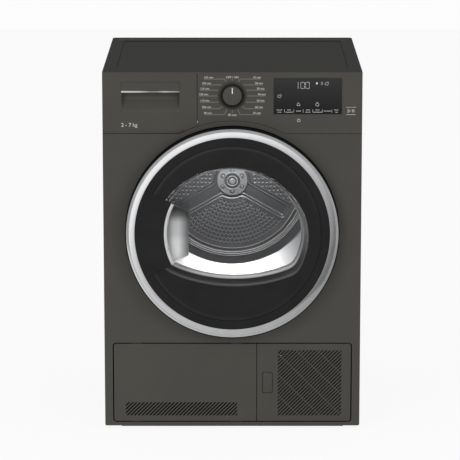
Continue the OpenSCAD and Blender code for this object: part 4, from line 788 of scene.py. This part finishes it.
def drum_hub():
    """Hub: disc, boss in a recess darkened with painted shade, with a bright ring and cap, shaft,
    and six rivets on washers."""
    y = PLATE_Y - 6
    back = size("drum_hub")[1][1]
    profile = rounded([(0, y - 2.6, 0), (6.4, y - 2.6, 0.8), (7.8, y - 1, 0.5), (7.8, y + 2, 0.1),
                       (11, y + 2, 0.1), (11.2, y - 1.6, 0.6), (13, y - 2.4, 0.8),
                       (14.4, y - 0.6, 0.6), (14.4, y + 2, 0.1), (20, y + 2, 0.1),
                       (20.2, y - 1.2, 0.6), (22.6, y - 1.6, 0.8), (24, y, 0.5),
                       (HUB_R - 1, y, 0.8), (HUB_R, y + 1.5, 0.5), (HUB_R, PLATE_Y - 0.1, 0),
                       (10, PLATE_Y - 0.1, 0), (10, back, 0.5), (0, back, 0)], closed=False)
    head = rounded([(0, y - 1.8, 0), (1.8, y - 1.8, 0.6), (3.0, y - 0.6, 0.6), (3.0, y + 0.5, 0),
                    (0, y + 0.5, 0)], closed=False)
    washer = np.array([(2.9, y + 0.1), (2.9, y - 0.25), (6.3, y - 0.25), (6.5, y + 0.1)])
    boss, washers = [lathe(profile, 0, DRUM_Z, 128, solid=True)], []
    for x, z in arc(0, DRUM_Z, RIVET_RING_R, 30, 330, 6):
        boss.append(lathe(head, x, z, 20, solid=True))
        washers.append(lathe(washer, x, z, 24))
    # painted shade on the recess floors
    recess = [lathe(band(inner, outer, depth, y + 2.1), 0, DRUM_Z)
              for inner, outer, depth in ((7.7, 11.1, y + 0.6), (14.3, 20.1, y + 1))]
    piece("drum_hub_boss", joined(boss), "drum", "zinc_steel", ["drum_hub"], look=HUB_STEEL)
    piece("drum_hub_washers", joined(washers), "drum", "drum_back_steel")
    piece("drum_hub_recess_shade", joined(recess), "drum", "drum_back_steel", look=HUB_RECESS_PAINTED_SHADE)


# ---------------------------------------------------------------- cabinet

def edge_band():
    """Band on the worktop's front edge, in the front's colour: it covers the joint below it."""
    half, top = TOP_HIGH[0] - 0.4, TOP_HIGH[2]
    shape = slab(block(-half, top - 2.4, half, top - 0.25), 0.02, 0.4, edge=0.15)
    piece("worktop_edge_band", shape, "cabinet", "painted_sheet")


def scoop_depth(z):
    """Depth of the tank's grip recess at a height: flush at the bottom, a straight ramp, and a
    back that curls forwards again under the strip."""
    depth = np.interp(z, [SCOOP_Z0, SCOOP_Z0 + 3, SCOOP_Z0 + 26, SCOOP_Z0 + 33, STRIP_Z0],
                      [0, 0.7, SCOOP_DEPTH - 1.2, SCOOP_DEPTH, SCOOP_DEPTH - 4])
    return depth * (z < STRIP_Z0 - 0.05) * (z > SCOOP_Z0)


def tank_drawer():
    """Tank front: a grid of heights. Between the seams it carries the grip recess, the seat of
    the strip, and the hairline round the bare plate above it. Below, each column ends at the
    straight seam or at the arc over the door. The bright strip is a half round bar."""
    low, high = size("tank_front")
    x0, x1 = SCOOP_X0, SCOOP_X1
    margin = np.array([0.6, 0.15, 0])           # columns and rows close to an outer edge
    hair = np.array([-0.6, -0.35, 0.35, 0.6])   # and close to a hairline
    x = np.unique(np.round(np.concatenate([
        low[0] + margin, high[0] - margin, np.linspace(low[0] + 2, high[0] - 2, 60),
        x0 + np.linspace(0, 7, 9), x1 - np.linspace(0, 7, 9), x0 + hair, x1 + hair]), 3))
    upper = np.unique(np.round(np.concatenate([
        np.linspace(TANK_GRID_Z, high[2] - 2, 24), high[2] - margin,
        SCOOP_Z0 + np.linspace(0, 30, 16), STRIP_Z0 + np.array([-0.3, 0, 0.02]),
        STRIP_Z1 + np.array([-0.02, 0.02]), PLATE_TOP + hair]), 3))
    over_door = DOOR_Z + np.sqrt(np.maximum(SEAM_R ** 2 - x ** 2, 0))
    arc_half = math.sqrt(SEAM_R ** 2 - (low[2] - DOOR_Z) ** 2)
    bottom = np.where(np.abs(x) < arc_half, over_door, low[2])
    share = np.array([0, 0.004, 0.02, 0.25, 0.5, 0.75])
    z = np.concatenate([bottom[:, None] + (TANK_GRID_Z - bottom[:, None]) * share,
                        np.broadcast_to(upper, (len(x), len(upper)))], 1)
    x = np.broadcast_to(x[:, None], z.shape)
    depth = scoop_depth(z) * step(x, x0 - 0.3, x0 + 6) * step(-x, -x1 - 0.3, -x1 + 6)
    between = (x > x0 - 0.5) & (x < x1 + 0.5)
    depth[(z > STRIP_Z0 - 0.01) & (z < STRIP_Z1 + 0.01) & between] = 1.1
    upright = np.minimum(abs(x - x0), abs(x - x1)) < 0.5
    level = abs(z - PLATE_TOP) < 0.5
    depth[(upright & (z > STRIP_Z1) & (z < PLATE_TOP + 0.5)) | (level & between)] = 0.7
    rim_gap = np.minimum(np.minimum(x - low[0], high[0] - x),
                         np.minimum(high[2] - z, z - z[:, :1]))
    depth = depth + 0.6 * np.clip(1 - rim_gap / 0.6, 0, 1) ** 2
    front = np.stack([x, depth, z], -1)
    back = np.stack([x, np.where(depth > 1.5, depth + 2, 16), z], -1)
    rims = [np.concatenate([face[0], face[1:, -1], face[-1, -2::-1], face[-2:0:-1, 0]])
            for face in (front, back)]
    shape = joined([grid(front), grid(back), grid(np.stack(rims, 1), loop_u=True)])
    piece("tank_drawer_front", shape, "tank", "fascia_plastic", ["tank_front"], crease=40,
          merge=1e-6)
    t = np.radians(np.linspace(0, 180, 13))
    middle = (STRIP_Z0 + STRIP_Z1) / 2
    section = [(1 - 3 * math.sin(a), middle - 2.95 * math.cos(a)) for a in t] + [(1.0, middle)]
    bar = np.array([[(at, *point) for point in section] for at in (x0, x0 + 1, x1 - 1, x1)])
    # the strip's look carries a painted reflection
    piece("tank_strip_trim", grid(bar, loop_v=True, cap_u=True), "tank", "chrome_trim",
          ["tank_handle_strip"], look=STRIP_PAINTED_REFLECTION)


def gaskets():
    """Dark rubber strips that close the joints from behind: along the arc over the door, and
    between the kick panel and the flap."""
    over = np.concatenate([arc(0, DOOR_Z, SEAM_R - 0.1, 60, 120, 60),
                           arc(0, DOOR_Z, SEAM_R - 2.9, 120, 60, 60)])
    x = FLAP_LOW[0] - 0.8
    strip = block(x - 2.5, FLAP_LOW[2] + 4, x + 2.5, FLAP_HIGH[2] - 4)
    piece("joint_gaskets", joined([slab(over, 1.3, 2.3), slab(strip, 10.2, 11.2)]), "cabinet",
          "rubber_black")


def latch_button():
    """Push latch: a button with soft edges, and the wider plate that keeps it in the flap."""
    low, high = size("flap_latch_button")
    lip = 3.7                    # of the plate, round the button
    button = block(low[0] + lip, low[2] + lip, high[0] - lip, high[2] - lip, 4.6)
    plate = block(low[0], low[2], high[0], high[2], 4)
    shape = joined([slab(button, low[1], high[1] - 1.9, edge=0.9),
                    slab(plate, high[1] - 2, high[1])])
    piece("flap_latch_key", shape, "flap_button", "fascia_plastic", ["flap_latch_button"])


def flap_screen():
    """Black sheet behind the flap's grille: painted shade that darkens its slots."""
    outline = block(FLAP_LOW[0] + 46, FLAP_LOW[2] + 9, FLAP_HIGH[0] - 19, FLAP_HIGH[2] - 9)
    piece("flap_screen_shade", slab(outline, 5.2, 6.4), "flap", "felt",
          look=FINISH["rubber_black"])


# ---------------------------------------------------------------- knob

def knob():
    """Programme knob: flat face and soft edge, with a raised white pointer, in a ring of painted
    shadow.
    """
    # painted shadow round the knob
    dark = lathe(band(17, 34, -0.12, 0.2), 0, KNOB_Z)
    piece("knob_painted_shadow_ring", dark, "cabinet", "fascia_plastic", look=KNOB_PAINTED_SHADOW)
    f = KNOB_LOW[1] + 0.4
    r = 22.3
    profile = rounded([(0, f, 0), (r - 0.7, f, 1.0), (r, -0.6, 0.4), (3, -0.6, 0.2),
                       (3, KNOB_HIGH[1], 0.3), (0, KNOB_HIGH[1], 0)], closed=False)
    piece("knob_cap_moulding", lathe(profile, 0, KNOB_Z, 128, solid=True), "knob",
          "fascia_plastic", ["knob_cap"])
    low, high = size("knob_pointer")
    pointer = block(low[0] + 0.3, low[2], high[0] - 0.3, high[2], 0.5)
    piece("knob_pointer_mark", slab(pointer, low[1], high[1], edge=0.15), "knob",
          "pointer_white", ["knob_pointer"])


# ---------------------------------------------------------------- printing

def stroke(points, width, y=0.0, closed=False):
    """Ribbon of even width along X-Z points: each side is offset by width / 2 along the mean of
    the two neighbouring normals, divided by the cosine of half the bend."""
    path = np.array(points, float)
    ahead = unit(np.roll(path, -1, 0) - path)
    behind = np.roll(ahead, 1, 0)
    if not closed:
        ahead[-1], behind[0] = ahead[-2], ahead[0]
    normal = (ahead + behind)[:, ::-1] * (-1, 1)
    normal /= np.maximum(np.sum((ahead + behind) ** 2, -1, keepdims=True) / 2, 0.5)
    left, right = path + normal * width / 2, path - normal * width / 2
    corners = [(left, y - INK), (right, y - INK), (right, y + INK), (left, y + INK)]
    layers = np.stack([np.insert(side, 1, depth, axis=1) for side, depth in corners], 1)
    return grid(layers, loop_u=closed, loop_v=True, cap_u=not closed)


def dash(x, z, wide, high, y=0.0):
    """Printed rectangle centred at (x, z)."""
    return stroke([(x - wide / 2, z), (x + wide / 2, z)], high, y)


def ring(x, z, radius, width, y=0.0):
    """Printed circle about (x, z)."""
    return stroke(arc(x, z, radius, 0, 360, 25)[:24], width, y, closed=True)


def shifted(points, x, z, scale=1.0):
    """X-Z points scaled and moved to (x, z)."""
    return [(x + scale * a, z + scale * b) for a, b in points]


def lettering(words, x, z, height, y=0.0, align="LEFT"):
    """Words as a closed mesh: capitals of that height stand on z and start, end or centre at x."""
    curve = bpy.data.curves.new("lettering", "FONT")
    curve.body, curve.size, curve.extrude, curve.align_x = words, height / 0.7, INK, align
    curve.resolution_u = 3
    holder = bpy.data.objects.new("lettering", curve)
    mesh = bpy.data.meshes.new_from_object(holder)
    points = np.array([v.co for v in mesh.vertices])
    faces = [list(f.vertices) for f in mesh.polygons]
    bpy.data.objects.remove(holder)
    bpy.data.meshes.remove(mesh)
    bpy.data.curves.remove(curve)
    return np.stack([x + points[:, 0], y - points[:, 2], z + points[:, 1]], -1), faces


def printed(name, shapes, look, body="cabinet"):
    """One piece of several printed shapes."""
    piece(name, joined(shapes), body, "pointer_white", look=look)


def dial_print():
    """Leader lines and plain minutes round the knob. A leader is a level line, a knee and a
    short slope towards the knob; the right side mirrors the left. Its row holds the height, the
    places of the outer end, the knee and the inner end, and the inner end's height."""
    leaders = [(38.0, -65.3, -17.8, -12.0, 28.2), (24.5, -70.3, -25.4, -21.4, 21.0),
               (12.2, -74.0, -33.0, -29.0, 10.2), (-1.2, -76.6, -31.6, None, None),
               (-15.6, -74.0, -33.6, -29.0, -13.0), (-30.7, -70.3, -29.6, -21.4, -23.9),
               (-44.4, -65.3, -17.9, -12.0, -31.4)]
    lines = [dash(0, KNOB_Z + z, 1.5, 7.2) for z in (33.6, -37.2)]
    numbers = [lettering("OFF / ON", 0, KNOB_Z + 39.8, 4.8, align="CENTER"),
               lettering("80 min", 0, KNOB_Z - 47.6, 5.0, align="CENTER")]
    for row, (z, outer, knee, inner, tip) in enumerate(leaders):
        for side, minutes, align in ((1, 150 - 10 * row, "LEFT"), (-1, 10 + 10 * row, "RIGHT")):
            path = [(side * outer, z), (side * knee, z)] + ([(side * inner, tip)] if inner else [])
            lines.append(stroke(shifted(path, 0, KNOB_Z), 1.5))
            numbers.append(lettering(f"{minutes} min", side * outer, KNOB_Z + z + 1.6, 4.6,
                                     align=align))
    printed("dial_leader_lines", lines, GREY_INK)
    printed("dial_minutes", numbers, PALE_INK)


def display_print():
    """Lit figures behind the window, and the marks of the touch keys: seven rows of short
    blocks with bars between them."""
    y = size("display_window")[0][1] - INK
    printed("display_dot", [ring(193.9, 820, 1.2, 2.2, y)], PALE_INK)
    bars = [(150.9, 807.6, 814.6), (150.9, 816, 823)]
    lit = []
    for x in (161.2, 172.2):
        bars += [(x + side, z0, z1) for side in (-4.2, 4.2)
                 for z0, z1 in ((808.2, 814.6), (816.0, 822.4))]
        lit += [dash(x, 815.3 + rise, 6.4, 1.1, y) for rise in (-7.2, 7.2)]
    lit += [stroke([(x, z0), (x, z1)], 1.1, y) for x, z0, z1 in bars]
    lit += [dash(205.4, z, 4.2, 0.8, y) for z in (822.6, 819.8, 817.0)]
    drop = [(-4, -2.6), (-1, -4), (3, -3.4), (4.6, 0), (3.6, 3.6), (1.6, 1.6), (-1, 2.2),
            (-3.6, 0.6)]
    bell = [(-3.4, -2.8), (3.4, -2.8), (2.7, 0), (1.4, 2.6), (0, 3.8), (-1.4, 2.6), (-2.7, 0)]
    lit += [stroke(shifted(drop, 216.1, 820), 0.8, y, closed=True),
            stroke(shifted(drop, 108, 791, 0.95), 0.9, y, closed=True),
            stroke(shifted(bell, 151.7, 771.3), 1.0, y, closed=True),
            ring(195.1, 770.8, 3.6, 1.0, y), dash(195.1, 775.6, 3.2, 1.0, y)]
    printed("display_figures", lit, LIT_INK)
    pitch = 2.3
    keys = [(108.2, 14.4, 9.0), (130.4, 8.6, 16.2), (152, 12.4, 0), (173.6, 8.4, 11.2),
            (195.6, 9.6, 21), (218, 17, 0), (239, 9.6, 8.0)]    # (x, width above, width below)
    marks = [dash(x, 756, 0.8, 7.6, y) for x in (119.6, 141.2, 162.8, 184.6, 206.8, 228.5)]
    for x, upper, lower in keys:
        for wide, z in ((upper, 758.4 if lower else 755.8), (lower, 753.2)):
            count = round(wide / pitch)
            marks += [dash(x + (i - (count - 1) / 2) * pitch, z, 1.4, 2.0, y)
                      for i in range(count)]
    printed("display_key_marks", marks, LIT_INK)


def worktop_lines():
    """Painted shade in the pressed groove and along it at the back; a painted highlight behind it.
    """
    top = TOP_HIGH[2] - 0.02
    shade = [stroke([(-267.5, 80), (-267.5, 522), (267.5, 522), (267.5, 80)], 2.6, top),
             dash(0, 532, 536, 27, top)]
    # painted highlight along the back edge
    pale = [dash(0, 557, 568, 18, top)]
    for name, shapes, look in (("worktop_groove_shade", shade, TOP_SHADE),
                               ("worktop_back_highlight", pale, TOP_PAINTED_HIGHLIGHT)):
        points, faces = joined(shapes)
        piece(name, (points[:, [0, 2, 1]], faces), "cabinet", "worktop_board", look=look)


def fascia_print():
    """Start key between two lines, a small padlock under the display and the load on the tank."""
    padlock = [(149.6, 731.4), (155.6, 731.4), (155.6, 735.6), (149.6, 735.6)]
    printed("fascia_key_marks",
            [dash(272.8, 764.6, 21.8, 1.0), dash(272.8, 747.6, 21.8, 1.0),
             stroke([(265.6, 752.6), (265.6, 759.6), (271.2, 756.1)], 1.1, closed=True),
             dash(275.6, 756.1, 1.5, 7.2), dash(279.2, 756.1, 1.5, 7.2),
             stroke(padlock, 1.1, closed=True), stroke(arc(152.6, 735.6, 2.2, 0, 180, 25), 0.9)],
            LIT_INK)
    printed("tank_load_mark", [lettering("2 - 7 kg", -255.6, 719.6, 8.6)], PALE_INK, "tank")


# ---------------------------------------------------------------- stage

def linked(name, data):
    """New object in the scene."""
    obj = bpy.data.objects.new(name, data)
    bpy.context.scene.collection.objects.link(obj)
    return obj


def studio_floor():
    """Pale floor that glows evenly to the eye, and lights metal from the left."""
    mesh = bpy.data.meshes.new("studio_floor")
    half, front, back = 6.0, -1.1, 7.0
    mesh.from_pydata([(-half, front, 0), (half, front, 0), (half, back, 0), (-half, back, 0)],
                     [], [(0, 1, 2, 3)])
    floor = linked("studio_floor", mesh)
    material, tree, shader, output = finish("pale_studio_floor", Roughness=0.9,
                                            Base_Color=(0.9, 0.9, 0.9, 1))
    ray = add(tree, "ShaderNodeLightPath").outputs
    dim = add(tree, "ShaderNodeMapRange", {"Value": along(tree, "X"), "From Min": -0.6,
                                           "From Max": 0.6, "To Min": 0.8, "To Max": 0.3})
    level = add(tree, "ShaderNodeMix", {0: ray["Is Camera Ray"], 2: dim.outputs[0], 3: 1.0})
    glow = add(tree, "ShaderNodeEmission", {"Color": (1, 1, 1, 1), "Strength": level.outputs[0]})
    seen = ray["Is Camera Ray"]
    for operation, other in (("MAXIMUM", ray["Is Glossy Ray"]),
                             ("MAXIMUM", ray["Is Transmission Ray"]), ("MULTIPLY", 0.9)):
        seen = add(tree, "ShaderNodeMath", {0: seen, 1: other}, operation=operation).outputs[0]
    mix_surfaces(tree, output, seen, shader, glow)
    mesh.materials.append(material)


def studio_backdrop():
    """Backdrop that metal and gloss show: bright to the left and above, dim to the right, with
    a dark card straight ahead of the object's front."""
    world = bpy.data.worlds.new("studio")
    bpy.context.scene.world = world
    world.use_nodes = True
    tree = world.node_tree
    tree.nodes.clear()

    def math_node(operation, a, b, c=0.0):
        return add(tree, "ShaderNodeMath", {0: a, 1: b, 2: c}, operation=operation).outputs[0]

    def mixed(share, low, high):
        return add(tree, "ShaderNodeMix", {0: share, 2: low, 3: high}).outputs[0]

    where = add(tree, "ShaderNodeTexCoord").outputs["Generated"]
    axes = add(tree, "ShaderNodeSeparateXYZ", {"Vector": where}).outputs
    upwards = math_node("MULTIPLY_ADD", axes["Z"], 1.5, 0.92)
    level = math_node("MULTIPLY_ADD", axes["X"], -1.2, upwards)
    level = math_node("MINIMUM", math_node("MAXIMUM", level, 0.2), 1.1)
    offset = add(tree, "ShaderNodeVectorMath", {0: where, 1: (0, -0.98, -0.2)},
                 operation="DISTANCE").outputs["Value"]
    card, rim = (add(tree, "ShaderNodeMapRange", {"Value": offset, "From Min": start,
                                                  "From Max": end, "To Min": low}).outputs[0]
                 for start, end, low in ((0.06, 0.22, 0.35), (0.45, 0.8, 0.0)))
    level = mixed(rim, math_node("MULTIPLY", level, card), 0.42)
    ray = add(tree, "ShaderNodeLightPath").outputs
    shiny = math_node("MAXIMUM", ray["Is Glossy Ray"], ray["Is Transmission Ray"])
    strength = mixed(ray["Is Camera Ray"], mixed(shiny, 0.55, level), 0.975)
    background = add(tree, "ShaderNodeBackground", {"Color": (1, 1, 1, 1), "Strength": strength})
    add(tree, "ShaderNodeOutputWorld", {"Surface": background.outputs[0]})


def studio_lamps():
    """Soft key lamp at the left, a weaker fill at the right, and a lamp inside the drum."""
    aim = np.array((0, -0.2, 0.45))
    for name, where, width, power in (("key", (-2.2, -3.2, 2.6), 2.2, 52),
                                      ("fill", (2.8, -2.6, 1.6), 2.0, 41)):
        lamp = bpy.data.lights.new(name, "AREA")
        lamp.size, lamp.energy = width, power
        obj = linked(name, lamp)
        obj.location = where
        x, y, z = aim - np.array(where)
        obj.rotation_euler = (math.atan2(math.hypot(x, y), -z), 0, math.atan2(y, x) - math.pi / 2)
        obj.visible_glossy = False
    lamp = bpy.data.lights.new("drum_lamp", "AREA")
    lamp.shape = "RECTANGLE"
    lamp.size, lamp.size_y = 0.30, 0.12
    lamp.spread = math.radians(95)
    lamp.energy = 0.77
    obj = linked("drum_lamp", lamp)
    obj.location = (0, (FRONT_MM + 350) * MM, (DRUM_Z + 226) * MM)
    obj.rotation_euler = (math.radians(40), 0, 0)


def studio_camera():
    """Camera at the viewing angle, 11.6 degrees above the level."""
    lens = bpy.data.cameras.new("camera")
    lens.sensor_width, lens.lens, lens.shift_x = 36, 213.2, -0.005
    camera = linked("camera", lens)
    camera.location = (0, -6.466, 1.746)
    camera.rotation_euler = (math.radians(90 - 11.6), 0, 0)
    bpy.context.scene.camera = camera
    bpy.context.scene.view_settings.view_transform = "Standard"


for make in (dress_nodes, door_ring, door_surround, door_grip, door_pocket, door_bowl, bowl_print_and_highlight,
             drum_plate, dimples, drum_barrel, drum_hub, edge_band, tank_drawer, gaskets,
             latch_button, flap_screen, knob, dial_print, display_print, fascia_print,
             worktop_lines, studio_floor, studio_backdrop, studio_lamps, studio_camera):
    make()
